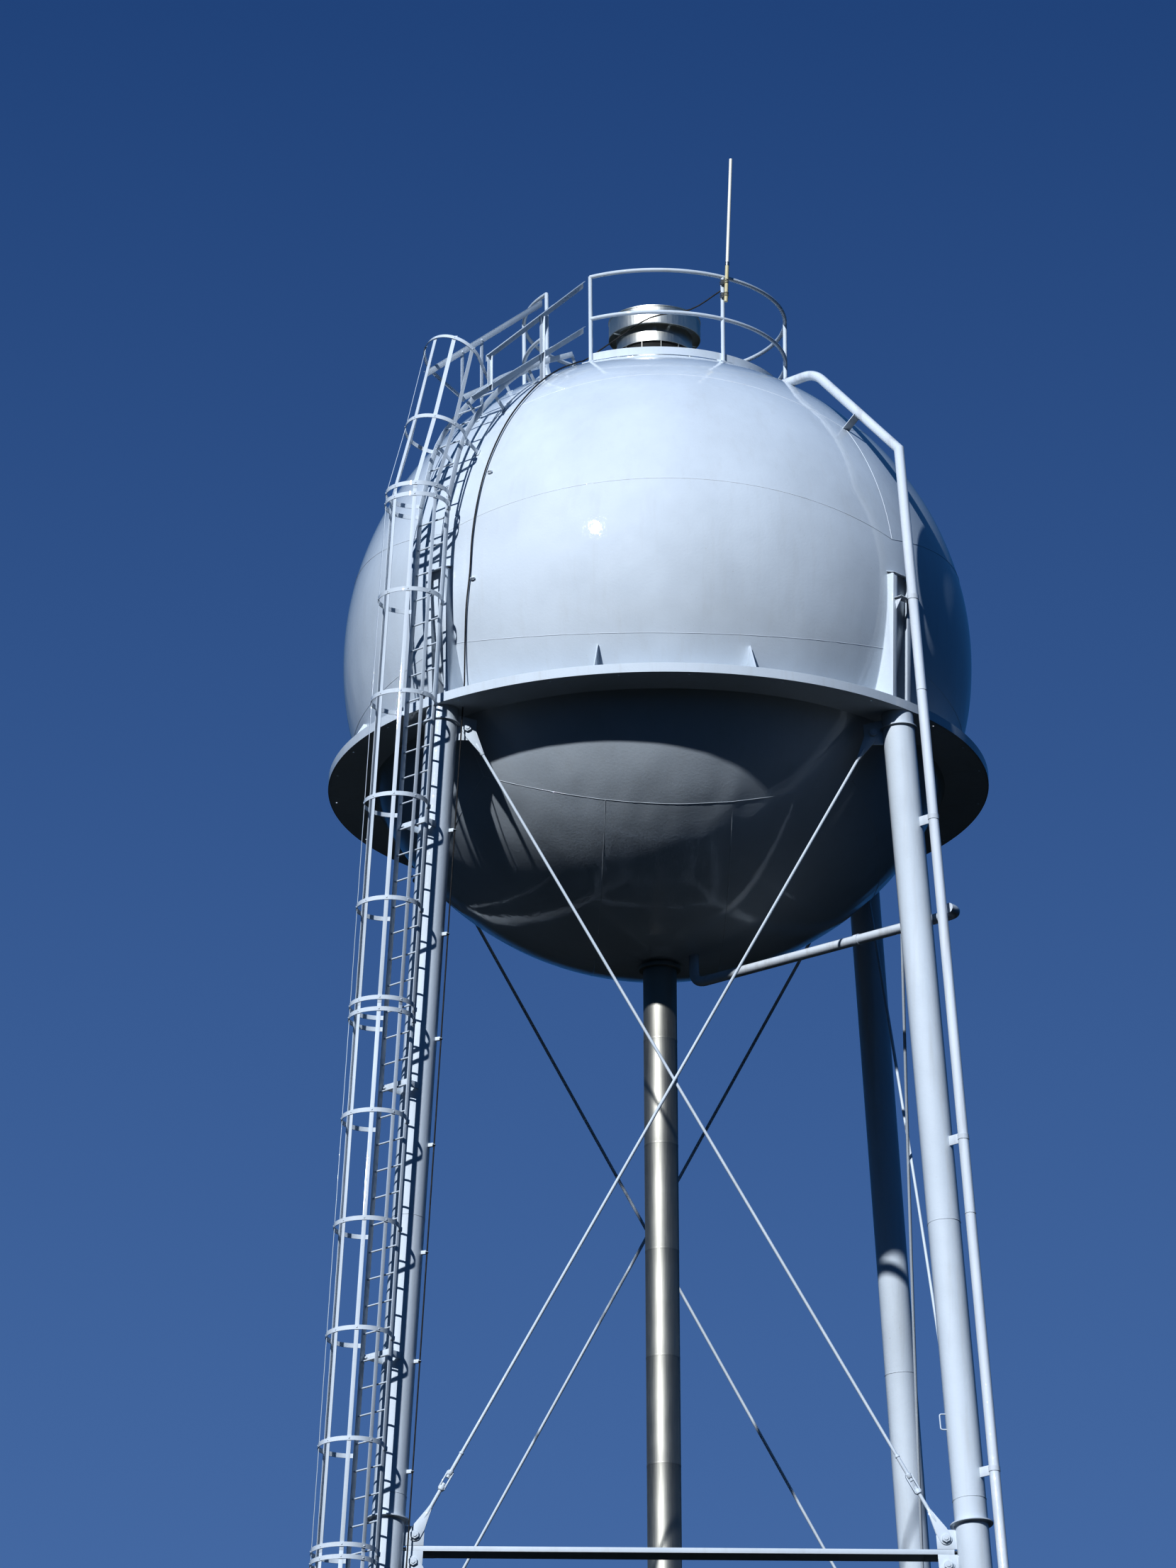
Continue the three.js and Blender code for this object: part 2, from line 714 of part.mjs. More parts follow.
for (let i = 0; i < cage.sections; i += 1) {
  const top = cageJoint - (cage.sections - 1 - i) * cageSection;
  addPart(`cage_section_${i + 1}`, cageLength(top), whitePaint, ladderFrame);
}
addPart('cage_top', cageTop(), whitePaint, ladderFrame);

// Roof ladder: follows the tank's shoulder from the ladder's head to the handrail's opening
const roofRoute = [[3654, 33412], [3400, 34230], [2900, 34900], [2350, 35400], [1620, 35800]];

function ribbon(points, width, drop = 0) {
  const left = [];
  const right = [];
  points.forEach(([x, z], i) => {
    const [ax, az] = points[Math.max(i - 1, 0)];
    const [bx, bz] = points[Math.min(i + 1, points.length - 1)];
    const length = Math.hypot(bx - ax, bz - az);
    const [nx, nz] = [-(bz - az) / length, (bx - ax) / length];
    left.push([x + (nx * width) / 2, z + (nz * width) / 2 - drop]);
    right.push([x - (nx * width) / 2, z - (nz * width) / 2 - drop]);
  });
  return [...left, ...right.reverse()];
}

function roofLadder() {
  const { half, bar, depth, rung } = ladder;
  const pieces = [
    plateXZ(ribbon(roofRoute, depth), -half - bar, bar),
    plateXZ(ribbon(roofRoute, depth), half, bar),
  ];
  const route = new THREE.CurvePath();
  for (let i = 0; i < roofRoute.length - 1; i += 1) {
    const [start, end] = [roofRoute[i], roofRoute[i + 1]].map(([x, z]) => new THREE.Vector3(x, 0, z));
    route.add(new THREE.LineCurve3(start, end));
  }
  const count = Math.floor(route.getLength() / rungPitch);
  for (let i = 0; i < count; i += 1) {
    const { x, z } = route.getPointAt((i + 0.5) / count);
    pieces.push(rodBetween(new THREE.Vector3(x, -half - 4, z), new THREE.Vector3(x, half + 4, z), rung, 4));
  }
  for (const [x, z] of roofRoute.slice(1)) {
    for (const side of [-1, 1]) {
      const foot = new THREE.Vector3(x, 0, z - tankCentre).setLength(tankRadius - 60);
      const start = new THREE.Vector3(x, side * (half + bar / 2), z);
      const end = new THREE.Vector3(foot.x, side * (half + bar / 2), tankCentre + foot.z);
      pieces.push(rodBetween(start, end, 18, 4));
    }
  }
  const toTank = new THREE.Matrix4().copy(accessFrame).invert();
  const clearance = solid(geometryOf(tankClearance).applyMatrix4(toTank));
  return join(...pieces).subtract(clearance);
}
addPart('roof_ladder', roofLadder(), whitePaint, accessFrame);

// Angle-iron rails on both sides of the roof ladder, on posts that stand on the tank
const angleRail = { width: 80, thickness: 7, flange: 40, post: 50 };

const ladderRails = [
  {
    name: 'roof_ladder_rail_right',
    side: 300,
    lines: [[[3150, 35265], [1545, 36690]], [[3396, 34690], [1545, 36130]]],
    post: 2250,
    tie: 3110,
  },
  {
    name: 'roof_ladder_rail_left',
    side: -240,
    lines: [[[3542, 35114], [1640, 36600]], [[2985, 34992], [1743, 35790]]],
    post: 2633,
    tie: 2950,
  },
];

function ladderRail({ side, lines, post, tie }) {
  const { width, thickness, flange } = angleRail;
  const outward = (from, to) => (side > 0 ? [side + from, side + to] : [side - to, side - from]);
  const [web0, web1] = outward(0, thickness);
  const [top0, top1] = outward(0, flange);
  const pieces = [];
  for (const [low, high] of lines) {
    const edge = (depth) => [low, high, [high[0], high[1] - depth], [low[0], low[1] - depth]];
    pieces.push(plateXZ(edge(width), web0, web1 - web0), plateXZ(edge(thickness), top0, top1 - top0));
  }
  const heightOn = ([low, high], x) => low[1] + ((high[1] - low[1]) * (x - low[0])) / (high[0] - low[0]);
  const surface = tankCentre + Math.sqrt(tankRadius ** 2 - post ** 2 - side ** 2) - 60;
  const [post0, post1] = outward(thickness - 2, thickness + 10);
  for (const [reach, foot] of [[post, surface], [tie, heightOn(lines[1], tie) - 60]]) {
    const top = heightOn(lines[0], reach + angleRail.post / 2) - 10;
    pieces.push(box(reach - angleRail.post / 2, reach + angleRail.post / 2, post0, post1, foot, top));
  }
  const toTank = new THREE.Matrix4().copy(accessFrame).invert();
  const clearance = solid(geometryOf(tankClearance).applyMatrix4(toTank));
  return join(...pieces).subtract(clearance);
}
for (const rail of ladderRails) addPart(rail.name, ladderRail(rail), whitePaint, accessFrame);

// Overflow pipe: out of the roof, over the shoulder, and down outside the front right leg
const pipe = { radius: 57, sides: 8, fromLeg: 370, bend: 160 };
const pipeReach = (z) => legReach(z) + pipe.fromLeg;

function overflowPipe() {
  const shoulder = tankCentre + 1640;
  const outlet = tankCentre + 2925;
  const corners = [
    [1800 - legReach(outlet), outlet],
    [2410 - legReach(outlet), outlet],
    [pipe.fromLeg, shoulder],
    [pipe.fromLeg, 700],
    [pipe.fromLeg + 220, 480],
  ].map(([x, z]) => new THREE.Vector3(x, 0, z));
  const pieces = [tubeAlong(corners, pipe.bend, pipe.radius, pipe.sides)];
  for (let z = 1800; z < ring.bottom - 800; z += 3400) {
    pieces.push(box(legRadius - 20, pipe.fromLeg - 20, -6, 6, z - 38, z + 38));
  }
  const toTank = new THREE.Matrix4().copy(overflowFrame).invert();
  const clearance = solid(geometryOf(tankClearance).applyMatrix4(toTank));
  return join(...pieces).subtract(clearance).subtract(legClearance);
}
addPart('overflow_pipe', overflowPipe(), pipePaint, overflowFrame);

// Drain pipe: from the bowl beside the riser, past the leg, to the overflow pipe
function drainPipe() {
  const level = tankCentre - 3850;
  const end = pipeReach(level);
  const corners = [
    [430, 90, tankCentre - 3480],
    [430, 90, level],
    [end, 310, level],
    [end, 2 * pipe.radius + gap + 2, level],
  ].map(([x, y, z]) => new THREE.Vector3(x, y, z));
  const toTank = new THREE.Matrix4().copy(outletFrame).invert();
  const clearance = solid(geometryOf(tankClearance).applyMatrix4(toTank));
  return solid(tubeAlong(corners, pipe.bend, pipe.radius, pipe.sides)).subtract(clearance);
}
addPart('drain_pipe', drainPipe(), pipePaint, outletFrame);

// Antenna: a whip on the front right handrail post
function antennaBody() {
  const azimuth = 28;
  const reach = handrail.radius + 70;
  const foot = polar(reach, azimuth, handrail.top - 330);
  const lean = 75;
  const tip = foot.clone().add(new THREE.Vector3(lean, 0, 1780));
  const pieces = [rodBetween(foot, tip, 20, 8)];
  for (const z of [handrail.top - 240, handrail.top - 80]) {
    pieces.push(rodBetween(polar(handrail.radius, azimuth, z), polar(reach + 10, azimuth, z), 14, 4));
  }
  const around = handrail.pipe + gap * Math.SQRT2;
  const post = rodBetween(
    polar(handrail.radius, azimuth, tankTop - 500),
    polar(handrail.radius, azimuth, tankTop + 1000),
    around,
    4,
  );
  return join(...pieces).subtract(solid(post));
}
addPart('antenna', antennaBody(), antennaWhite);

// Antenna cable: past the vent, over the roof and down the tank, then down the front left leg
const cable = { radius: 11, standOff: 28, fromLegAxis: 241, side: 24, clipHalf: 12, joint: ring.bottom + 200 };

function cableOnTank(azimuth, latitude) {
  const reach = tankRadius + cable.standOff;
  const angle = radians(latitude);
  return polar(reach * Math.cos(angle), azimuth, tankCentre + reach * Math.sin(angle));
}

function cableOnLeg(z) {
  const { fromLegAxis, side } = cable;
  const spread = legSpread(z);
  return new THREE.Vector3(
    -spread + fromLegAxis * Math.cos(radians(side)),
    -spread - fromLegAxis * Math.sin(radians(side)),
    z,
  );
}

function tankStops() {
  const onTank = [
    [-35.2, 63], [-35.4, 56], [-35.7, 49], [-36, 42], [-36.6, 35], [-37, 28], [-37.4, 21],
    [-37.6, 14], [-37.8, 7], [-38, 0], [-39, -6], [-40, -12],
  ];
  return [
    polar(1545, 26, handrail.top - 200),
    polar(1400, 14, handrail.top - 420),
    polar(1300, -5, handrail.top - 500),
    polar(1380, -22, tankTop - 60),
    polar(1440, -35.2, tankTop - 255),
    ...onTank.map(([azimuth, latitude]) => cableOnTank(azimuth, latitude)),
    cableOnLeg(ring.bottom + 300),
    cableOnLeg(cable.joint + gap),
  ];
}

function cableClip(z) {
  const { fromLegAxis, side, clipHalf } = cable;
  const angle = radians(-side);
  const form = box(legRadius - 20, fromLegAxis + 15, -clipHalf, clipHalf, -clipHalf, clipHalf);
  const spread = legSpread(z);
  return form.rotateZ(angle).translate(-spread, -spread, z);
}

function cableDownLeg() {
  const pieces = [tubeThrough([cableOnLeg(cable.joint), cableOnLeg(100)], cable.radius, 6)];
  for (let z = 1500; z < ring.bottom - 500; z += 3657) pieces.push(cableClip(z));
  const toLeg = quarterTurn(3).multiply(legFrame);
  return join(...pieces).subtract(solid(geometryOf(legClearance).applyMatrix4(toLeg)));
}
addPart('antenna_cable_tank_run', solid(tubeThrough(tankStops(), cable.radius, 6)), cableBlack);
addPart('antenna_cable_leg_run', cableDownLeg(), cableBlack);

const cableHole = rodBetween(cableOnLeg(ring.bottom - 60), cableOnLeg(ring.top + 60), 40, 8);
addPart('balcony_ring', balconyRing(cableHole), whitePaint);

export default tower;
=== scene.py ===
# Elevated water tank on four battered tubular legs.
# Metres, +Z up, ground at z = 0, front face at -Y.

import math

import bmesh
import bpy
from bmesh.types import BMEdge, BMFace, BMVert
from mathutils import Matrix, Vector, noise


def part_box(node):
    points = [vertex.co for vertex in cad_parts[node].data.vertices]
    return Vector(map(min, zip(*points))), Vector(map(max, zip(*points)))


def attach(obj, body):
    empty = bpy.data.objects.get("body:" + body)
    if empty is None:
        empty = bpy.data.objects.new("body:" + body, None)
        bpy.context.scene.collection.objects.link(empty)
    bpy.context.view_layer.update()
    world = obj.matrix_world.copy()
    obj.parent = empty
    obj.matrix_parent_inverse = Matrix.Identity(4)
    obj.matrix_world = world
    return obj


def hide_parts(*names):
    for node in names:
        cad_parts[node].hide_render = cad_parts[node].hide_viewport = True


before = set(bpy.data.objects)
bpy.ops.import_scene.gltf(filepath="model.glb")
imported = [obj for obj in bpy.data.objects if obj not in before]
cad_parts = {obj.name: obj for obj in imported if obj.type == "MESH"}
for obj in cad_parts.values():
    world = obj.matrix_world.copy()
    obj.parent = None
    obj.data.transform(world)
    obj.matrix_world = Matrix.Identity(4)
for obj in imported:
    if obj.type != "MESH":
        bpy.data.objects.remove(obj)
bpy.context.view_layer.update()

# Driving sizes, from the frame where it holds them
TANK_RADIUS = 3.55
TANK_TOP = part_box("tank_roof")[1].z
TANK_CENTRE = TANK_TOP - TANK_RADIUS
TANK_PLATE = 0.010
RING_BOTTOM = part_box("balcony_ring")[0].z
RING_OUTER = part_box("balcony_ring")[1].x
RING_INNER = 3.15
RING_TOP = RING_BOTTOM + 0.010
CURB_TOP = RING_BOTTOM + 0.108
BASE_HALF = 0.310
BASE_PLATE = 0.038
BATTER = 0.0603
FOOT_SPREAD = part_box("base_plate_front_right")[1].x - BASE_HALF
LEG_RADIUS = 0.1778
STRUT_LEVELS = {level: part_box(f"strut_front_{level}")[1].z for level in ("upper", "lower")}
RUNG_PITCH = 0.3048
SEAT_GAP = 0.0003
CORNERS = ("front_right", "back_right", "back_left", "front_left")
FACES = ("front", "right", "back", "left")


def spread(z):
    """Distance of the legs' axes from the tower's middle planes at height z."""
    return FOOT_SPREAD - BATTER * z


def leg_reach(z):
    """Distance of the legs' axes from the tower's axis at height z."""
    return math.sqrt(2) * spread(z)


def polar(radius, azimuth, z):
    """A point by its distance from the tower's axis, its azimuth (0 at -Y, 90 at +X) and its height."""
    angle = math.radians(azimuth)
    return Vector((radius * math.sin(angle), -radius * math.cos(angle), z))


def on_tank(azimuth, latitude, lift=0.0):
    """A point by its azimuth and latitude on the tank, raised off the plate by lift."""
    reach = TANK_RADIUS + lift
    angle = math.radians(latitude)
    return polar(reach * math.cos(angle), azimuth, TANK_CENTRE + reach * math.sin(angle))


def evenly(start, end, steps):
    """The ends of so many equal steps from start to end."""
    return [start + (end - start) * i / steps for i in range(steps + 1)]


def arc(radius, start, end, steps):
    """Points on a circle round the origin between two angles in degrees."""
    angles = [math.radians(angle) for angle in evenly(start, end, steps)]
    return [(radius * math.cos(angle), radius * math.sin(angle)) for angle in angles]


def heights(start, end, pitch):
    """Heights a pitch apart, from start up or down to short of end."""
    found = []
    while (end - start) * pitch > 0:
        found.append(start)
        start += pitch
    return found


# Frames
def turn_about_z(degrees):
    return Matrix.Rotation(math.radians(degrees), 4, "Z")


def shift(x, y, z):
    return Matrix.Translation((x, y, z))


def stacked(levels, x=0):
    """A place at each height, at a distance x from the axis."""
    return [shift(x, 0, z) for z in levels]


def around(count, start):
    """So many turns about the Z axis, evenly spread from start."""
    return [turn_about_z(360 // count * i + start) for i in range(count)]


def tilt(degrees):
    """A turn about the Y axis."""
    return Matrix.Rotation(math.radians(degrees), 4, "Y")


def standing(point, azimuth):
    """An upright frame at a point, its X axis outwards along the azimuth."""
    return Matrix.Translation(point) @ turn_about_z(azimuth - 90)


def pointing(direction):
    """A turn that takes the Z axis into a direction."""
    return direction.to_track_quat("Z", "Y").to_matrix().to_4x4()


# Turns what stands on Z to stand on +X, or on -Y
FACING_X = tilt(90)
FACING_FRONT = Matrix.Rotation(math.pi / 2, 4, "X")


def leaning(x, y):
    """A frame that leans with the legs, x and y times their spread from the tower's middle planes."""
    return Matrix((
        (1, 0, -x * BATTER, x * FOOT_SPREAD),
        (0, 1, -y * BATTER, y * FOOT_SPREAD),
        (0, 0, 1, 0),
        (0, 0, 0, 1),
    ))


# x and y are offsets from the front right leg's axis, and level stays level
LEG_SHEAR = leaning(1, -1)

# The same, square to the leg's axis
LEG_LEAN = LEG_SHEAR.copy()
LEG_LEAN[2] = (BATTER, -BATTER, 1, 0)

# y is the offset inwards from the plane through the two front legs' axes
FACE_LEAN = leaning(0, -1)

# x is the outward offset from a leg's axis, y is across it
RADIAL_LEAN = leaning(math.sqrt(2), 0)
LADDER_FRAME = turn_about_z(-135) @ RADIAL_LEAN
OVERFLOW_FRAME = turn_about_z(-45) @ RADIAL_LEAN

# x is the distance from the tower's axis towards the front left or the front right leg
ACCESS_FRAME = turn_about_z(-135)
OUTLET_FRAME = turn_about_z(-45)


# Shapes, each a new bmesh
TOUCHING = 1e-5
SHARP = 40
EDGE = 0.002


def of_kind(items, kind):
    return [item for item in items if isinstance(item, kind)]


def closed(bm):
    """Welds a shape's doubled corners and points its faces outwards."""
    bmesh.ops.remove_doubles(bm, verts=bm.verts, dist=TOUCHING)
    bmesh.ops.recalc_face_normals(bm, faces=bm.faces)
    return bm


def eased(bm, width, segments=2):
    """Rounds the edges at which a shape's faces turn sharply."""
    closed(bm)
    sharp = [edge for edge in bm.edges if edge.calc_face_angle(0) > math.radians(SHARP)]
    bmesh.ops.bevel(
        bm, geom=sharp, offset=width, offset_type="OFFSET", segments=segments,
        profile=0.5, affect="EDGES", material=-1, clamp_overlap=True,
    )
    return bm


def turned(profile, steps=64):
    """A profile of (radius, height) points turned once about the Z axis."""
    bm = bmesh.new()
    points = [bm.verts.new((radius, 0, height)) for radius, height in profile]
    lines = [bm.edges.new(pair) for pair in zip(points, points[1:])]
    bmesh.ops.spin(
        bm, geom=points + lines, cent=(0, 0, 0), axis=(0, 0, 1),
        angle=2 * math.pi, steps=steps, use_merge=True,
    )
    return closed(bm)


def collar(inner, outer, low, high, ease=0.0, steps=28):
    """A ring round the Z axis; ease draws its outer edges together."""
    outline = [(inner, low), (outer, low + ease), (outer, high - ease), (inner, high), (inner, low)]
    return turned(outline, steps)


def flange(inner, outer, low, high):
    """A disc or ring round the Z axis with rounded outer edges."""
    outline = [
        (inner, low), (outer - EDGE, low), (outer, low + EDGE),
        (outer, high - EDGE), (outer - EDGE, high), (inner, high),
    ]
    return turned(outline + outline[:1] if inner else outline)


def swept(section, start, end, steps):
    """A closed section of (radius, height) points turned about the Z axis between two angles in degrees."""
    bm = bmesh.new()
    face = bm.faces.new([bm.verts.new((radius, 0, height)) for radius, height in section])
    first = Matrix.Rotation(math.radians(start), 3, "Z")
    bmesh.ops.rotate(bm, verts=bm.verts, cent=(0, 0, 0), matrix=first)
    bmesh.ops.spin(
        bm, geom=[face], cent=(0, 0, 0), axis=(0, 0, 1),
        angle=math.radians(end - start), steps=steps,
    )
    return closed(bm)


def raised(face_points, along, edge):
    """A flat outline raised into a plate by the vector along, its edges rounded."""
    bm = bmesh.new()
    face = bm.faces.new([bm.verts.new(point) for point in face_points])
    grown = bmesh.ops.extrude_face_region(bm, geom=[face])["geom"]
    bmesh.ops.translate(bm, verts=of_kind(grown, BMVert), vec=along)
    return eased(bm, edge)


def plate(outline, start, thickness, edge=EDGE):
    """A flat plate with its outline in the XZ plane, from y = start to start + thickness."""
    return raised([(x, start, z) for x, z in outline], (0, thickness, 0), edge)


def bar(section, start, end):
    """A bar with its section in the YZ plane, from x = start to x = end."""
    return raised([(start, y, z) for y, z in section], (end - start, 0, 0), EDGE)


def block(corner, opposite, edge=EDGE):
    """A plate or flat bar between two opposite corners."""
    (x0, x1), (y0, y1), (z0, z1) = (sorted(ends) for ends in zip(corner, opposite))
    return plate([(x0, z0), (x1, z0), (x1, z1), (x0, z1)], y0, y1 - y0, edge)


def mitre(before, after):
    """Stretches a tube's ring across a bend, so both its legs stay round."""
    across = after - before
    if across.length < TOUCHING:
        return Matrix()
    return Matrix.Scale(1 / math.cos(before.angle(after) / 2), 4, across.normalized())


def tube(stops, radius, sides):
    """A round bar or pipe that follows a list of points."""
    bm = bmesh.new()
    stops = [Vector(stop) for stop in stops]
    legs = [(after - before).normalized() for before, after in zip(stops, stops[1:])]
    course = [legs[0]] + [a + b for a, b in zip(legs, legs[1:])] + [legs[-1]]
    mitres = [Matrix(), *[mitre(a, b) for a, b in zip(legs, legs[1:])], Matrix()]
    first = Matrix.Translation(stops[0]) @ pointing(course[0])
    bmesh.ops.create_circle(bm, cap_ends=False, radius=radius, segments=sides, matrix=first)
    rim = bm.edges[:]
    for i in range(1, len(stops)):
        made = bmesh.ops.extrude_edge_only(bm, edges=rim)["geom"]
        rim = of_kind(made, BMEdge)
        bend = course[i - 1].rotation_difference(course[i]).to_matrix().to_4x4()
        turn = mitres[i] @ bend @ mitres[i - 1].inverted()
        step = Matrix.Translation(stops[i]) @ turn @ Matrix.Translation(-stops[i - 1])
        bmesh.ops.transform(bm, matrix=step, verts=of_kind(made, BMVert))
    bmesh.ops.holes_fill(bm, edges=bm.edges[:], sides=0)
    return closed(bm)


def rounded(corners, bend, steps):
    """Points along straight runs whose corners are rounded over the length bend."""
    corners = [Vector(corner) for corner in corners]
    points = [corners[0]]
    for before, corner, after in zip(corners, corners[1:], corners[2:]):
        enter = corner + (before - corner).normalized() * bend
        leave = corner + (after - corner).normalized() * bend
        for share in evenly(0, 1, steps):
            points.append(enter.lerp(corner, share).lerp(corner.lerp(leave, share), share))
    points.append(corners[-1])
    return points


def through(points, steps):
    """A smooth curve through a list of points."""
    points = [Vector(point) for point in points]
    ends = [2 * points[0] - points[1], *points, 2 * points[-1] - points[-2]]
    curve = []
    for a, b, c, d in zip(ends, ends[1:], ends[2:], ends[3:]):
        for i in range(steps):
            t = i / steps
            curve.append(
                b + (c - a) * (t / 2) + (2 * a - 5 * b + 4 * c - d) * (t * t / 2)
                + (3 * b - a - 3 * c + d) * (t ** 3 / 2)
            )
    curve.append(points[-1])
    return curve


def prism(sides, radius, height, taper=1.0):
    """A short upright drum or nut that stands on z = 0."""
    bm = bmesh.new()
    bmesh.ops.create_cone(
        bm, cap_ends=True, cap_tris=False, segments=sides, radius1=radius,
        radius2=radius * taper, depth=height, matrix=Matrix.Translation((0, 0, height / 2)),
    )
    return bm


def hex_bolt(across, grip=0.0):
    """A bolt head on its washer, standing on z = 0, with a nut on the far side of the grip."""
    bm = bmesh.new()
    corner, ease = across / math.sqrt(3), across * 0.05
    washer_radius, washer = across * 0.72, across * 0.12
    head, nut, thread_end = across * 0.62, across * 0.75, across * 1.05
    stamp(bm, prism(16, washer_radius, washer))
    stamp(bm, eased(prism(6, corner, head), ease, 1), shift(0, 0, washer))
    if grip:
        stamp(bm, prism(16, washer_radius, washer), shift(0, 0, -grip - washer))
        stamp(bm, eased(prism(6, corner, nut), ease, 1), shift(0, 0, -grip - washer - nut))
        stamp(bm, prism(10, across * 0.32, across * 0.4), shift(0, 0, -grip - washer - thread_end))
    return bm


def stamp(bm, shape, *places, material=0):
    """Adds a copy of a shape to bm at each place, and lets go of the shape."""
    for face in shape.faces:
        face.material_index = material
    pattern = bpy.data.meshes.new("pattern")
    shape.to_mesh(pattern)
    shape.free()
    for place in places or (Matrix(),):
        copy = pattern.copy()
        copy.transform(place)
        bm.from_mesh(copy)
        bpy.data.meshes.remove(copy)
    bpy.data.meshes.remove(pattern)


def placed(name, data):
    """A new object in the scene."""
    made = bpy.data.objects.new(name, data)
    bpy.context.scene.collection.objects.link(made)
    return made


def mesh_of(name, bm, materials):
    """A finished mesh, which lets go of the shape that it was made from."""
    mesh = bpy.data.meshes.new(name)
    bm.to_mesh(mesh)
    bm.free()
    for material in materials:
        mesh.materials.append(material)
    return mesh


def piece(name, bm, materials, nodes=(), smooth=38, closed_shell=True):
    """Makes a finished shape one object that rides on the tower."""
    if closed_shell:
        bmesh.ops.recalc_face_normals(bm, faces=bm.faces)
    mesh = mesh_of(name, bm, materials)
    mesh.shade_smooth()
    mesh.set_sharp_from_angle(angle=math.radians(smooth))
    made = placed(name, mesh)
    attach(made, "root")
    if nodes:
        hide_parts(*nodes)
    return made


def painted(name, bm, *nodes):
    """A piece in the tower's white paint."""
    return piece(name, bm, [steel_paint], nodes)


# Materials
def tinted(colour, share):
    return tuple(channel * share for channel in colour)


class Finish:
    """A procedural material in the making: a shader and the nodes that feed its sockets."""

    def __init__(self, name):
        self.material = bpy.data.materials.new(name)
        self.material.use_nodes = True
        self.tree = self.material.node_tree
        self.shader = self.tree.nodes["Principled BSDF"]
        self.place = self.node("ShaderNodeTexCoord").outputs["Object"]

    def node(self, kind, **settings):
        made = self.tree.nodes.new(kind)
        for key, value in settings.items():
            setattr(made, key, value)
        return made

    def link(self, output, socket):
        self.tree.links.new(output, socket)

    def stretch(self, scale):
        """The object's own coordinates, closer or further apart along each axis."""
        mapping = self.node("ShaderNodeMapping")
        mapping.inputs["Scale"].default_value = scale
        self.link(self.place, mapping.inputs["Vector"])
        return mapping.outputs["Vector"]

    def grain(self, scale, detail=4.0, roughness=0.55, stretch=(1, 1, 1)):
        texture = self.node("ShaderNodeTexNoise")
        texture.inputs["Scale"].default_value = scale
        texture.inputs["Detail"].default_value = detail
        texture.inputs["Roughness"].default_value = roughness
        self.link(self.stretch(stretch), texture.inputs["Vector"])
        return texture.outputs["Fac"]

    def patchy(self, scale, start, end, detail=4.0):
        """Soft patches that run from start to end, as for a roughness."""
        return self.levels(self.grain(scale, detail), 0.3, 0.7, start, end)

    def levels(self, value, low, high, start=0.0, end=1.0):
        """Spreads the stretch of a value from low to high over start to end."""
        levels = self.node("ShaderNodeMapRange")
        for key, number in {"From Min": low, "From Max": high, "To Min": start, "To Max": end}.items():
            levels.inputs[key].default_value = number
        self.link(value, levels.inputs["Value"])
        return levels.outputs["Result"]

    def mix(self, share, first, second):
        """Blends two colours; either may be a fixed colour or another node's."""
        mix = self.node("ShaderNodeMix", data_type="RGBA")
        self.link(share, mix.inputs["Factor"])
        for socket, colour in ((mix.inputs[6], first), (mix.inputs[7], second)):
            if isinstance(colour, tuple):
                socket.default_value = (*colour, 1)
            else:
                self.link(colour, socket)
        return mix.outputs[2]

    def times(self, first, second):
        product = self.node("ShaderNodeMath", operation="MULTIPLY")
        self.link(first, product.inputs[0])
        self.link(second, product.inputs[1])
        return product.outputs["Value"]

    def height(self, value, depth, below=None):
        """Raises the surface by up to depth where the value is 1."""
        bump = self.node("ShaderNodeBump")
        bump.inputs["Strength"].default_value = 1.0
        bump.inputs["Distance"].default_value = depth
        self.link(value, bump.inputs["Height"])
        if below:
            self.link(below, bump.inputs["Normal"])
        return bump.outputs["Normal"]

    def surface(self, colour, roughness, normal, metallic=0.0, **constants):
        self.link(colour, self.shader.inputs["Base Color"])
        self.link(roughness, self.shader.inputs["Roughness"])
        self.link(normal, self.shader.inputs["Normal"])
        self.shader.inputs["Metallic"].default_value = metallic
        for key, number in constants.items():
            self.shader.inputs[key.replace("_", " ").title().replace("Ior", "IOR")].default_value = number
        return self.material


def tower_paint(name, colour, dust, streaks, wave=0.0):
    """Glossy pale paint on steel plate, with faint dust, run-off streaks and a brushed-on skin."""
    finish = Finish(name)
    patches = finish.levels(finish.grain(0.9, 6.0), 0.42, 0.72)
    runs = finish.levels(finish.grain(9.0, 4.0, 0.6, (1, 1, 0.06)), 0.52, 0.78, 0.0, streaks)
    specks = finish.levels(finish.grain(55.0, 2.0), 0.68, 0.76, 0.0, 0.5)
    base = finish.mix(patches, colour, tinted(colour, 0.90))
    base = finish.mix(runs, base, dust)
    base = finish.mix(finish.times(specks, patches), base, dust)
    roughness = finish.patchy(2.4, 0.66, 0.80, 5.0)
    skin = finish.height(finish.grain(38.0, 3.0), 0.0012)
    if wave:
        skin = finish.height(finish.grain(1.6, 2.0), wave, skin)
    gloss = finish.height(finish.grain(14.0, 3.0), 0.0018)
    finish.link(gloss, finish.shader.inputs["Coat Normal"])
    return finish.surface(base, roughness, skin, coat_weight=1.0, coat_roughness=0.035)


def brushed_steel(name, brightness, smoothest, roughest):
    """Sheet metal with a fine upright grain and duller patches."""
    bright, dull, brushed = (
        tinted(colour, brightness)
        for colour in ((0.58, 0.58, 0.54), (0.46, 0.46, 0.43), (0.70, 0.69, 0.64))
    )
    finish = Finish(name)
    patches = finish.levels(finish.grain(1.7, 5.0), 0.35, 0.7)
    lines = finish.grain(150.0, 3.0, 0.6, (1, 1, 0.02))
    base = finish.mix(patches, bright, dull)
    base = finish.mix(finish.levels(lines, 0.35, 0.7, 0.0, 0.35), base, brushed)
    roughness = finish.levels(lines, 0.3, 0.7, smoothest, roughest)
    return finish.surface(base, roughness, finish.height(lines, 0.0004), metallic=1.0)


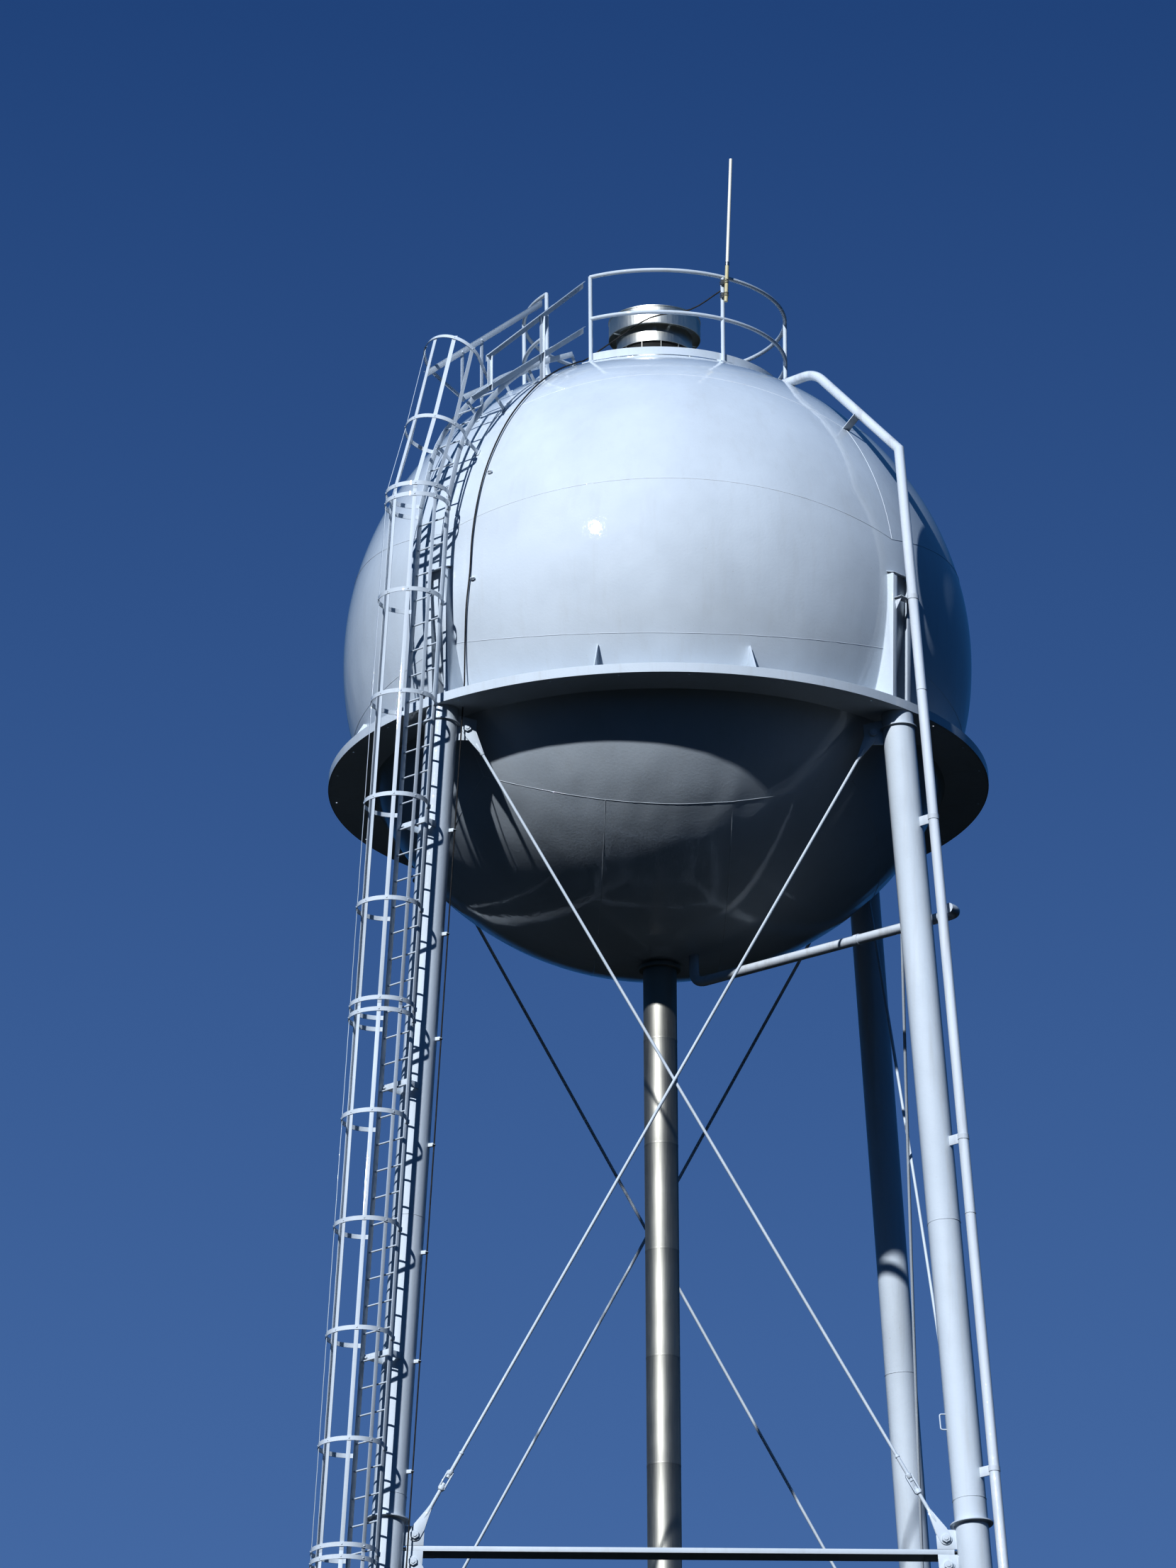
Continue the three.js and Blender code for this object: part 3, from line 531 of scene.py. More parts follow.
def galvanised(name, colour):
    """Zinc-coated steel with a soft spangle."""
    finish = Finish(name)
    spangle = finish.node("ShaderNodeTexVoronoi")
    spangle.inputs["Scale"].default_value = 90.0
    finish.link(finish.place, spangle.inputs["Vector"])
    tone = finish.levels(spangle.outputs["Distance"], 0.0, 0.8)
    base = finish.mix(tone, colour, tinted(colour, 0.7))
    roughness = finish.patchy(20.0, 0.36, 0.55)
    return finish.surface(base, roughness, finish.height(tone, 0.0004), metallic=0.85)


def rubber(name, colour):
    """Matt black sheath or moulded rubber with a dusty bloom."""
    finish = Finish(name)
    bloom = finish.levels(finish.grain(12.0, 5.0), 0.45, 0.75)
    base = finish.mix(bloom, colour, tuple(channel + 0.03 for channel in colour))
    roughness = finish.patchy(60.0, 0.5, 0.7)
    return finish.surface(base, roughness, finish.height(finish.grain(220.0, 2.0), 0.0003))


def glass_fibre(name, colour, chalk):
    """Weathered moulding of glass fibre: chalky, with fine strands along it."""
    finish = Finish(name)
    strands = finish.grain(90.0, 3.0, 0.6, (1, 1, 0.05))
    base = finish.mix(finish.levels(strands, 0.4, 0.7), colour, chalk)
    roughness = finish.patchy(18.0, 0.42, 0.6)
    return finish.surface(base, roughness, finish.height(strands, 0.0003))


def painted_shade_screen(name):
    """Woven wire screen: fine upright and level wires, with painted shade between them that stands for the
    dark hollow behind the screen.
    """
    finish = Finish(name)
    wires = []
    for direction in ("Z", "DIAGONAL"):
        wave = finish.node("ShaderNodeTexWave", wave_type="BANDS", bands_direction=direction)
        wave.inputs["Scale"].default_value = 40.0
        finish.link(finish.place, wave.inputs["Vector"])
        wires.append(finish.levels(wave.outputs["Fac"], 0.55, 0.9))
    crossing = finish.times(*wires)
    # Painted shade: the near black between the wires stands for the shaded hollow behind the screen; the
    # wires are the lighter colour.
    base = finish.mix(crossing, (0.012, 0.013, 0.013), (0.09, 0.09, 0.085))
    roughness = finish.levels(crossing, 0.0, 1.0, 0.75, 0.45)
    return finish.surface(base, roughness, finish.height(crossing, 0.001))


WHITE = (0.64, 0.705, 0.77)
DUST = (0.42, 0.41, 0.37)
tank_paint = tower_paint("tank_paint", WHITE, DUST, 0.10, wave=0.004)
steel_paint = tower_paint("tower_paint", WHITE, DUST, 0.22)
pipe_paint = tower_paint("pipe_paint", (0.65, 0.705, 0.765), (0.33, 0.32, 0.29), 0.42)
weld_paint = tower_paint("weld_paint", (0.68, 0.735, 0.79), DUST, 0.35)
jacket_steel = brushed_steel("dull_jacket_steel", 0.62, 0.50, 0.62)
vent_steel = brushed_steel("bright_vent_steel", 1.25, 0.38, 0.52)
zinc = galvanised("zinc_coated_steel", (0.42, 0.44, 0.45))
cable_rubber = rubber("cable_rubber", (0.012, 0.013, 0.015))
black_plastic = rubber("black_plastic", (0.02, 0.022, 0.025))
antenna_skin = glass_fibre("antenna_glass_fibre", (0.78, 0.77, 0.71), (0.86, 0.86, 0.82))
antenna_base_skin = glass_fibre("antenna_base_moulding", (0.60, 0.55, 0.36), (0.68, 0.64, 0.47))
screen_with_painted_shade = painted_shade_screen("vent_screen_with_painted_shade")


# Tank: plates that meet at scalloped weld seams, each seam lowest or highest at the middle of a face
SEAMS = {"bowl": (-46.0, 9.9), "lower": (-15.2, 3.6), "upper": (14.5, -4.9), "crown": (46.0, -9.9)}
TANK_STEPS = 288
FACE_WIDTH = 90
LEG_AZIMUTHS = (45, 135, 225, 315)


def seam_latitude(seam, azimuth):
    middle, rise = SEAMS[seam]
    offset = (azimuth + FACE_WIDTH / 2) % FACE_WIDTH - FACE_WIDTH / 2
    return middle + rise * (2 * offset / FACE_WIDTH) ** 2


def bearings(point):
    """The azimuth and latitude of a point on the tank."""
    across = math.hypot(point.x, point.y)
    azimuth = math.degrees(math.atan2(point.x, -point.y)) if across > 1e-6 else 0.0
    return azimuth, math.degrees(math.atan2(point.z - TANK_CENTRE, across))


# Slow waves all over, as depth and closeness, and ripples near the two lower seams: their depth,
# their latitude, how far they spread from it, and how close they are across and upwards
WAVE = (0.0022, 5.0)
RIPPLES = ((0.0045, -9.0, 4.5, 17, 14), (0.008, -44.0, 9.0, 11, 7))


def buckle(azimuth, latitude):
    """How far the plate stands off the true sphere."""
    heading = polar(1.0, azimuth, 0.0)
    depth, rate = WAVE
    off = depth * noise.noise(Vector((heading.x, heading.y, math.radians(latitude))) * rate)
    for depth, middle, extent, rate, rise in RIPPLES:
        fade = math.exp(-((latitude - middle) / extent) ** 2)
        off += depth * fade * noise.noise(Vector((heading.x * rate, heading.y * rate, latitude / rise)))
    return off


def tank_course(name, node, low, high, rows):
    """One course of plates; low and high give the seams' latitudes by azimuth."""
    bottom, top = low(0), high(0)
    profile = []
    for latitude in evenly(bottom, top, rows):
        angle = math.radians(latitude)
        profile.append((TANK_RADIUS * math.cos(angle), TANK_CENTRE + TANK_RADIUS * math.sin(angle)))
    bm = turned(profile, TANK_STEPS)
    for vert in bm.verts:
        azimuth, latitude = bearings(vert.co)
        share = (latitude - bottom) / (top - bottom)
        latitude = low(azimuth) * (1 - share) + high(azimuth) * share
        vert.co = on_tank(azimuth, latitude, buckle(azimuth, latitude))
    bm.normal_update()
    bm.faces.ensure_lookup_table()
    face = bm.faces[len(bm.faces) // 2]
    if face.normal.dot(face.calc_center_median() - Vector((0, 0, TANK_CENTRE))) < 0:
        bmesh.ops.reverse_faces(bm, faces=bm.faces)
    bm.edges.index_update()
    rims = [edge.index for edge in bm.edges if edge.is_boundary]
    made = piece(name, bm, [tank_paint], [node], smooth=60, closed_shell=False)
    for rim in rims:
        made.data.edges[rim].use_edge_sharp = True
    wall = made.modifiers.new("wall", "SOLIDIFY")
    wall.thickness = TANK_PLATE
    wall.offset = -1
    return made


def tank_plates():
    def seam(name):
        return lambda azimuth: seam_latitude(name, azimuth)

    tank_course("bowl_plates", "tank_bowl", lambda azimuth: -90.0, seam("lower"), 60)
    tank_course("shell_plates", "tank_shell", seam("lower"), seam("upper"), 26)
    tank_course("roof_plates", "tank_roof", seam("upper"), lambda azimuth: 90.0, 60)


BEAD_WIDTH = 0.010
BEAD_PROUD = 0.003
BEAD_ROOT = 0.003
BEAD_UNEVEN = 0.0012
BEAD_WAVES = 60.0

# The butt welds are round rods sunk into the plate
SEAM_ROD = 0.008
SEAM_SINK = 0.004
CAP_SEAMS = (-0.71, 0.68)


def bead_section(radius, height):
    """A weld bead's low round section, its flat side just inside the plate."""
    half, shoulder = BEAD_WIDTH / 2, 0.6
    root, side = radius - BEAD_ROOT, radius + BEAD_PROUD * shoulder
    return [
        (root, height - half), (side, height - half * shoulder), (radius + BEAD_PROUD, height),
        (side, height + half * shoulder), (root, height + half), (root, height - half),
    ]


def scalloped_bead(seam):
    bm = turned(bead_section(TANK_RADIUS, 0.0), TANK_STEPS * 2)
    for vert in bm.verts:
        across = math.hypot(vert.co.x, vert.co.y)
        azimuth = math.degrees(math.atan2(vert.co.x, -vert.co.y))
        middle = seam_latitude(seam, azimuth)
        offset = math.degrees(vert.co.z / TANK_RADIUS)
        uneven = BEAD_UNEVEN * noise.noise(polar(BEAD_WAVES, azimuth, middle))
        lift = across - TANK_RADIUS + buckle(azimuth, middle) + uneven
        vert.co = on_tank(azimuth, middle + offset, lift)
    return bm


def upright_bead(azimuth, low, high):
    course = evenly(low, high, 40)
    return tube([on_tank(azimuth, lat, buckle(azimuth, lat) - SEAM_SINK) for lat in course], SEAM_ROD, 8)


def cap_bead(x):
    """A straight seam across the bowl's bottom cap, front to back, at a distance x from the middle."""
    reach = math.sqrt(TANK_RADIUS ** 2 - x ** 2) - SEAM_SINK
    points = []
    for angle in evenly(-44, 44, 48):
        turn = math.radians(angle)
        points.append((x, reach * math.sin(turn), TANK_CENTRE - reach * math.cos(turn)))
    return tube(points, SEAM_ROD, 8)


def tank_weld_seams():
    bm = bmesh.new()
    for seam in SEAMS:
        stamp(bm, scalloped_bead(seam))
    corner = FACE_WIDTH / 2
    for azimuth in LEG_AZIMUTHS:
        stamp(bm, upright_bead(azimuth, seam_latitude("upper", corner), seam_latitude("crown", corner)))
        stamp(bm, upright_bead(azimuth, seam_latitude("bowl", corner), seam_latitude("lower", corner)))
    for x in CAP_SEAMS:
        stamp(bm, cap_bead(x))
    piece("tank_weld_seams", bm, [weld_paint], smooth=50)


# Balcony ring: a drilled plate, its curb, and stiffeners that lean on the tank
STIFFENER_AZIMUTHS = (14, 76, 104, 166, 194, 256, 284, 346)
DRAIN_SPACING = 15
DRAIN_DRIFT = 3.5
DRAIN_REACH = 3.635
DRAIN_RADIUS = 0.0125
CURB = 0.010
STIFFENER_TOP = 31.470


def drilled_plate():
    """The ring's flat plate with a round drain hole every so often near its curb."""
    radii = (RING_INNER, 3.27, 3.38, 3.49, DRAIN_REACH - 0.04, DRAIN_REACH + 0.04, RING_OUTER - 0.004)
    bm = turned([(radius, RING_BOTTOM) for radius in radii], 240)
    holes = []
    for i in range(360 // DRAIN_SPACING):
        azimuth = DRAIN_SPACING * i - 10 + DRAIN_DRIFT * math.sin(5 * i)
        target = polar(DRAIN_REACH, azimuth, RING_BOTTOM)
        holes.append(min(bm.faces, key=lambda face: (face.calc_center_median() - target).length))
    centres = [face.calc_center_median() for face in holes]
    margin = 0.028
    bmesh.ops.inset_individual(bm, faces=holes, thickness=margin, depth=0.0, use_even_offset=True)
    for face, centre in zip(holes, centres):
        split = bmesh.ops.subdivide_edges(bm, edges=face.edges[:], cuts=1)["geom_split"]
        for vert in {*of_kind(split, BMVert), *face.verts}:
            vert.co = centre + (vert.co - centre).normalized() * DRAIN_RADIUS
    bmesh.ops.delete(bm, geom=holes, context="FACES_ONLY")
    grown = bmesh.ops.extrude_face_region(bm, geom=bm.faces[:])["geom"]
    bmesh.ops.translate(bm, verts=of_kind(grown, BMVert), vec=(0, 0, RING_TOP - RING_BOTTOM))
    return closed(bm)


def balcony_ring():
    bm = bmesh.new()
    stamp(bm, drilled_plate())
    edge, inner = 0.002, RING_OUTER - CURB
    curb = [
        (inner, RING_BOTTOM), (RING_OUTER - edge, RING_BOTTOM), (RING_OUTER, RING_BOTTOM + edge),
        (RING_OUTER, CURB_TOP - edge), (RING_OUTER - edge, CURB_TOP), (inner + edge, CURB_TOP),
        (inner, CURB_TOP - edge), (inner, RING_BOTTOM),
    ]
    stamp(bm, turned(curb, 192))
    stamp(bm, turned(curb_weld(), 192))
    foot, toe, toe_top = 3.22, 3.69, RING_TOP + 0.03
    outline = [
        (foot, RING_TOP), (toe, RING_TOP), (toe, toe_top), (3.43, STIFFENER_TOP), (3.35, STIFFENER_TOP),
    ]
    for azimuth in STIFFENER_AZIMUTHS:
        stamp(bm, plate(outline, -0.006, 0.012), turn_about_z(azimuth - 90))
    painted("balcony_ring_plate", bm, "balcony_ring")


def curb_weld():
    """The fillet between the ring's plate and its curb."""
    root, throat, corner = 0.001, 0.008, RING_OUTER - CURB
    low, high = RING_TOP - root, RING_TOP + throat
    return [(corner + root, low), (corner - throat, low), (corner + root, high), (corner + root, low)]


# Legs
DISC = 0.016
DISC_RISE = 0.266
DISCS = (
    (STRUT_LEVELS["lower"] + DISC_RISE, 0.228), (STRUT_LEVELS["upper"] + DISC_RISE, 0.228), (30.820, 0.205),
)
WELD_RISES = (0.536, 3.626)
GUSSET_ROOT = -0.170
GUSSET_CORNER = -0.330
GUSSET_REACH = -0.385
GUSSET = 0.016
STRUT_LIP = 0.057
STRUT_WEB = 0.008
SEAT_PLATE = 0.012
PIPE_BOTTOM = BASE_PLATE + SEAT_GAP


def leg_discs():
    """Collar discs welded round the leg, square to it, and the welds between its lengths of pipe."""
    bm = bmesh.new()
    ease, fillet, root = 0.002, 0.009, LEG_RADIUS - 0.004
    for z, radius in DISCS:
        top = z + DISC
        stamp(bm, turned([
            (root, z - fillet), (LEG_RADIUS, z - fillet), (LEG_RADIUS + fillet, z), (radius - ease, z),
            (radius, z + ease), (radius, top - ease), (radius - ease, top), (LEG_RADIUS + fillet, top),
            (LEG_RADIUS, top + fillet), (root, top + fillet), (root, z - fillet),
        ]))
    for level in STRUT_LEVELS.values():
        for rise in WELD_RISES:
            weld = turned(bead_section(LEG_RADIUS, level + rise), 96)
            for vert in weld.verts:
                vert.co.z += 0.003 * noise.noise(vert.co * 14)
            stamp(bm, weld)
    return bm


def gusset_outlines():
    """The gussets at a leg's head and foot, and above and below each strut, as (x, z) points."""
    root, corner, reach = GUSSET_ROOT, GUSSET_CORNER, GUSSET_REACH
    outlines = [
        [(root, 30.640), (corner, 30.640), (reach, 30.700), (reach, 30.880), (root, 30.940)],
        [(root, PIPE_BOTTOM), (-0.300, PIPE_BOTTOM), (reach, 0.200), (reach, 0.380),
         (corner, 0.450), (root, 0.450)],
    ]
    for level in STRUT_LEVELS.values():
        above, top = level + SEAT_GAP, level + 0.215
        below, bottom = level - STRUT_LIP - SEAT_GAP, level - STRUT_LIP - SEAT_GAP - 0.208
        outlines.append([(root, above), (reach, above), (reach, level + 0.150), (corner, top), (root, top)])
        outlines.append([
            (root, bottom), (corner, bottom), (reach, below - 0.143), (reach, below), (root, below),
        ])
    return outlines


def leg_plates():
    """Gussets for the tie rods and seats for the struts."""
    bm = bmesh.new()
    both_ways = (Matrix(), turn_about_z(-90))
    for outline in gusset_outlines():
        stamp(bm, plate(outline, -GUSSET / 2, GUSSET), *both_ways)
    for level in STRUT_LEVELS.values():
        seat = level - STRUT_WEB - SEAT_GAP
        bottom = seat - SEAT_PLATE
        stamp(bm, block((-0.370, 0.020, bottom), (-0.160, 0.170, seat)))
        stamp(bm, block((-0.170, 0.160, bottom), (-0.020, 0.370, seat)))
    return bm


def foot_plate():
    """A leg's base plate with its ribs, the weld round the pipe and the anchor bolts."""
    half, anchor, root, end, top = BASE_HALF, 0.245, 0.170, 0.300, 0.260
    rib = [(root, 0.030), (end, 0.030), (end, 0.060), (0.200, top), (root, top)]
    foot, crown = BASE_PLATE - 0.001, BASE_PLATE + 0.016
    weld = [(root, foot), (0.196, foot), (0.179, crown), (root, crown), (root, foot)]
    bm = bmesh.new()
    stamp(bm, block((-half, -half, 0), (half, half, BASE_PLATE), 0.003))
    stamp(bm, plate(rib, -0.007, 0.014), *around(4, 45))
    stamp(bm, turned(weld))
    corners = [shift(sx * anchor, sy * anchor, BASE_PLATE) for sx in (-1, 1) for sy in (-1, 1)]
    stamp(bm, anchor_bolt(), *corners)
    return bm


def anchor_bolt():
    """A threaded bar out of the footing with a washer and two nuts."""
    washer, nut, lock_nut, ease = 0.010, 0.032, 0.020, 0.003
    across, thread, thread_end, gap = 0.036, 0.018, 0.105, 0.002
    bm = bmesh.new()
    stamp(bm, prism(4, 0.056, washer))
    for bottom, height in ((washer, nut), (washer + nut + gap, lock_nut)):
        stamp(bm, eased(prism(6, across, height), ease, 1), shift(0, 0, bottom))
    stamp(bm, prism(16, thread, thread_end))
    return bm


def legs():
    pipe_top = RING_BOTTOM - SEAT_GAP
    for count, corner in enumerate(CORNERS):
        bm = bmesh.new()
        pipe = turned([
            (0, PIPE_BOTTOM), (LEG_RADIUS, PIPE_BOTTOM), (LEG_RADIUS, pipe_top), (0, pipe_top),
        ], 96)
        stamp(bm, pipe, LEG_SHEAR)
        stamp(bm, leg_discs(), LEG_LEAN)
        stamp(bm, leg_plates(), LEG_SHEAR)
        if corner == "front_right":
            stamp(bm, leg_handle(), LEG_SHEAR)
        bm.transform(turn_about_z(90 * count))
        painted(f"leg_tube_{corner}", bm, f"leg_{corner}")
        foot = foot_plate()
        foot.transform(turn_about_z(90 * count) @ LEG_SHEAR)
        painted(f"leg_foot_{corner}", foot, f"base_plate_{corner}")


def leg_handle():
    """A small bent-rod handle on the leg's left side."""
    z = STRUT_LEVELS["upper"] + 1.40
    low, high = z - 0.085, z + 0.085
    root, reach, y = -0.165, -LEG_RADIUS - 0.058, -0.02
    corners = [(root, y, low), (reach, y, low), (reach, y, high), (root, y, high)]
    return tube(rounded(corners, 0.022, 4), 0.008, 10)


# Struts: channels that lie flat between the legs, their lips turned down
def strut_shape(level):
    """A channel between two legs, with the splice plates and bolts at its ends."""
    lip, depth, inner = 0.010, 0.200, 0.080
    web, face = level - STRUT_WEB, depth - STRUT_WEB
    section = [
        (-lip / 2, level - STRUT_LIP), (lip / 2, level - STRUT_LIP), (lip / 2, web), (face, web),
        (face, level - inner), (depth, level - inner), (depth, level), (-lip / 2, level),
    ]
    half = spread(level) - LEG_RADIUS - 0.027
    bm = bmesh.new()
    stamp(bm, bar(section, -half, half))
    splice, splice_plate = 0.297, 0.010
    back, low, high = face - splice_plate, level - inner - 0.004, web - 0.006
    for side in (-1, 1):
        stamp(bm, block((side * half, back, low), (side * (half - splice), face, high)))
        bolts = [shift(side * (half - offset), back, level - 0.046) for offset in (0.045, 0.106, 0.167)]
        stamp(bm, hex_bolt(0.028, 0.018), *[bolt @ FACING_FRONT for bolt in bolts])
    return bm


def struts():
    for count, face in enumerate(FACES):
        for name, level in STRUT_LEVELS.items():
            bm = strut_shape(level)
            bm.transform(turn_about_z(90 * count) @ FACE_LEAN)
            painted(f"strut_channel_{face}_{name}", bm, f"strut_{face}_{name}")


# Tie rods: a bar with a clevis at each end that straddles a gusset, and a turnbuckle near the foot
ROD_RADIUS = 0.0175
CLEVIS_LENGTH = 0.33
PIN_OFFSET = 0.284
PIN_ABOVE = 0.115
PIN_BELOW = 0.177
ROD_BOW = 0.0185
PANELS = {
    "top": (STRUT_LEVELS["upper"] + PIN_ABOVE, 30.784),
    "middle": (STRUT_LEVELS["lower"] + PIN_ABOVE, STRUT_LEVELS["upper"] - PIN_BELOW),
    "bottom": (0.330, STRUT_LEVELS["lower"] - PIN_BELOW),
}


def clevis():
    """Two cheeks round the pin at the origin that close on the bar, with the pin and its nuts."""
    eye, throat, tip, cheek, ease = 0.066, 0.10, 0.022, 0.0122, 0.0025
    washer_radius, washer, nut_radius, nut, nut_ease = 0.052, 0.004, 0.050, 0.022, 0.004
    pin, pin_end, pin_taper, flat = 0.026, 0.034, 0.92, eye * 0.97
    outline = arc(eye, 90, 270, 12)
    outline += [(throat, -flat), (CLEVIS_LENGTH, -tip), (CLEVIS_LENGTH, tip), (throat, flat)]
    neck = [
        (0, 0.17), (0.010, 0.17), (0.020, 0.19), (0.026, 0.26), (0.026, 0.34), (0.0215, 0.36), (0, 0.36),
    ]
    bm = bmesh.new()
    for start in (-0.0210, 0.0088):
        stamp(bm, plate(outline, start, cheek, ease))
    stamp(bm, turned(neck, 20), FACING_X)
    for facing in (FACING_FRONT, turn_about_z(180) @ FACING_FRONT):
        outer = facing @ shift(0, 0, 0.0208)
        stamp(bm, prism(24, washer_radius, washer), outer)
        stamp(bm, eased(prism(6, nut_radius, nut), nut_ease, 1), outer @ shift(0, 0, washer))
        stamp(bm, prism(20, pin, pin_end, pin_taper), outer)
    return bm


def turnbuckle(start, end):
    """An open-body turnbuckle: two side bars between threaded bosses."""
    bm = bmesh.new()
    boss, half, inner, outer, sunk = 0.055, 0.017, 0.021, 0.0385, 0.018
    shape = [(0, 0), (0.024, 0), (0.0335, 0.008), (0.0335, boss - 0.010), (0.026, boss), (0, boss)]
    stamp(bm, turned(shape, 20), shift(start, 0, 0) @ FACING_X, shift(end, 0, 0) @ FACING_X.inverted())
    for side in (-1, 1):
        near, far = (start + sunk, -half, side * inner), (end - sunk, half, side * outer)
        stamp(bm, block(near, far, 0.005))
    return bm


def tie_rod(length, bow):
    """One rod along X from pin to pin; bow carries it past the rod that it crosses."""
    bm = bmesh.new()
    stamp(bm, clevis(), Matrix(), shift(length, 0, 0) @ turn_about_z(180))
    start, end = 0.560, 0.810
    inside, upset = 0.09, 0.0205
    stamp(bm, turnbuckle(start, end))
    for near, far in ((0.34, start + inside), (end - inside, end + 0.215)):
        stamp(bm, tube([(near, 0, 0), (far, 0, 0)], upset, 16))
    nut = [(0, 0), (0.022, 0), (0.0255, 0.004), (0.0255, 0.018), (0.018, 0.032), (0, 0.032)]
    stamp(bm, turned(nut, 16), shift(end + 0.205, 0, 0) @ FACING_X)
    first, last = end + 0.21, length - CLEVIS_LENGTH - 0.02
    stops = []
    for share in evenly(0, 1, 24):
        stops.append((first + (last - first) * share, bow * math.sin(math.pi * share), 0))
    stamp(bm, tube(stops, ROD_RADIUS, 14))
    return bm


def rod_place(foot, head):
    along = (head - foot).normalized()
    return Matrix((
        (along.x, 0, -along.z, foot.x),
        (0, 1, 0, 0),
        (along.z, 0, along.x, foot.z),
        (0, 0, 0, 1),
    ))


def tie_rods():
    for panel, (low, high) in PANELS.items():
        for count, face in enumerate(FACES):
            bm = bmesh.new()
            for side in (-1, 1):
                foot = Vector((side * (spread(low) - PIN_OFFSET), 0, low))
                head = Vector((-side * (spread(high) - PIN_OFFSET), 0, high))
                stamp(bm, tie_rod((head - foot).length, side * ROD_BOW), rod_place(foot, head))
            bm.transform(turn_about_z(90 * count) @ FACE_LEAN)
            painted(f"tie_rods_{face}_{panel}", bm, f"rods_{face}_{panel}")


# Column heads: paired plates that follow the tank, their outer edges stiffened by strips, under a cap
HEAD_HALF = 0.150
HEAD_PLATE = 0.012
HEAD_STRIP = 0.062
HEAD_BOTTOM = RING_TOP + SEAT_GAP
HEAD_TOP = 32.620
HEAD_REACH = (3.590, 3.636)


def column_head():
    """One head, in the outlet frame."""
    half = HEAD_HALF
    inner = []
    for z in evenly(HEAD_BOTTOM, HEAD_TOP, 14):
        inner.append((math.sqrt(TANK_RADIUS ** 2 - half ** 2 - (z - TANK_CENTRE) ** 2) - 0.004, z))
    low, high = HEAD_REACH
    outer = [(low, HEAD_BOTTOM), (high, HEAD_TOP)]
    outline = [*outer, *reversed(inner)]
    strip = [(low - HEAD_PLATE, HEAD_BOTTOM), *outer, (high - HEAD_PLATE, HEAD_TOP)]
    bm = bmesh.new()
    for start in (-half, half - HEAD_PLATE):
        stamp(bm, plate(outline, start, HEAD_PLATE))
    for start in (-half + 0.001, half - HEAD_STRIP - 0.001):
        stamp(bm, plate(strip, start, HEAD_STRIP))
    rise, back, front, overhang = HEAD_TOP + 0.003, 3.540, high + 0.012, 0.012
    cap = [(back, rise + 0.036), (back, rise + 0.028), (front, rise - 0.006), (front, rise + 0.002)]
    stamp(bm, plate(cap, -half - overhang, 2 * half + 2 * overhang))
    for side in (-1, 1):
        stamp(bm, tube([(x, side * half, z) for x, z in inner], 0.007, 8))
    return bm


def column_heads():
    for count, corner in enumerate(CORNERS):
        bm = column_head()
        bm.transform(turn_about_z(90 * count) @ OUTLET_FRAME)
        painted(f"column_head_plates_{corner}", bm, f"column_head_{corner}")


# Riser: a pipe in a sheet steel jacket, with a flanged foot and a collar under the bowl
JACKET_RADIUS = 0.188
JACKET_TOP = 29.100
JACKET_SHEET = 1.219
JACKET_LAP = 0.0012
FLANGE_TOP = 0.040


def riser():
    inner, bottom = JACKET_RADIUS - JACKET_LAP, FLANGE_TOP - 0.002
    profile = [(0, bottom), (inner, bottom)]
    for z in heights(JACKET_SHEET, JACKET_TOP - 0.3, JACKET_SHEET):
        profile += [(inner, z), (JACKET_RADIUS, z - 0.001), (JACKET_RADIUS, z + 0.022), (inner, z + 0.024)]
    profile += [(inner, JACKET_TOP), (0, JACKET_TOP)]
    bm = bmesh.new()
    stamp(bm, turned(profile))
    stamp(bm, flange(0.180, 0.232, 28.880, 28.920))
    half, face = 0.014, JACKET_RADIUS + 0.0014
    stamp(bm, block((JACKET_RADIUS - 0.004, -half, 0.05), (face, half, 28.86), 0.0006), turn_about_z(70))
    stamp(bm, flange(0, 0.320, 0, FLANGE_TOP), material=1)
    bolts = [turn @ shift(0.265, 0, FLANGE_TOP) for turn in around(12, 15)]
    stamp(bm, hex_bolt(0.046), *bolts, material=1)
    piece("riser_jacket", bm, [jacket_steel, steel_paint], ["riser_pipe"])


# Roof guardrail
RAIL_RADIUS = 1.500
RAIL_PIPE = 0.024
RAIL_TOP = TANK_TOP + 0.715
RAIL_MIDDLE = TANK_TOP + 0.195
POSTS = (-58, -32, 28, 88, 148, 208, 268)
ENTRY = (-58, -32)
TOE_BOARD = (TANK_TOP - 0.318, TANK_TOP - 0.225)


def roof_guardrail():
    bm = bmesh.new()
    first, last, steps = ENTRY[1], ENTRY[0] + 360, 84
    for z in (RAIL_TOP, RAIL_MIDDLE):
        stops = [polar(RAIL_RADIUS, azimuth, z) for azimuth in evenly(first, last, steps)]
        stamp(bm, tube(stops, RAIL_PIPE, 14))
    inner, outer = 1.478, 1.486
    low, high = TOE_BOARD
    board = [(inner, low), (outer, low), (outer, high), (inner, high)]
    stamp(bm, swept(board, first - 90, last - 90, steps))
    foot_latitude = math.degrees(math.acos(RAIL_RADIUS / TANK_RADIUS))
    half = 0.075
    for azimuth in POSTS:
        foot = on_tank(azimuth, foot_latitude, -0.010)
        stamp(bm, tube([foot, polar(RAIL_RADIUS, azimuth, RAIL_TOP + 0.004)], RAIL_PIPE, 16))
        lie = standing(on_tank(azimuth, foot_latitude), azimuth) @ tilt(90 - foot_latitude)
        stamp(bm, block((-half, -half, -0.008), (half, half, 0.010)), lie)
        stamp(bm, turned(bead_section(RAIL_PIPE, 0.014), 24), lie)
    painted("roof_guardrail", bm, "roof_handrail")


# Roof vent
VENT_NECK = 0.435
VENT_HOOD = 0.525
VENT_BAND = TANK_TOP + 0.319
HOOD_BOTTOM = TANK_TOP + 0.500
HOOD_TOP = TANK_TOP + 0.722
SCREEN_BOTTOM = VENT_BAND - 0.106
SCREEN_REACH = VENT_NECK - 0.025


def vent():
    vent_throat()
    wires = SCREEN_REACH - 0.003, SCREEN_REACH + 0.001
    screen = collar(*wires, SCREEN_BOTTOM + 0.001, VENT_BAND - 0.001, steps=96)
    # The screen's material paints the shade of the hollow behind it between its wires.
    piece("vent_screen", screen, [screen_with_painted_shade])
    vent_cover()


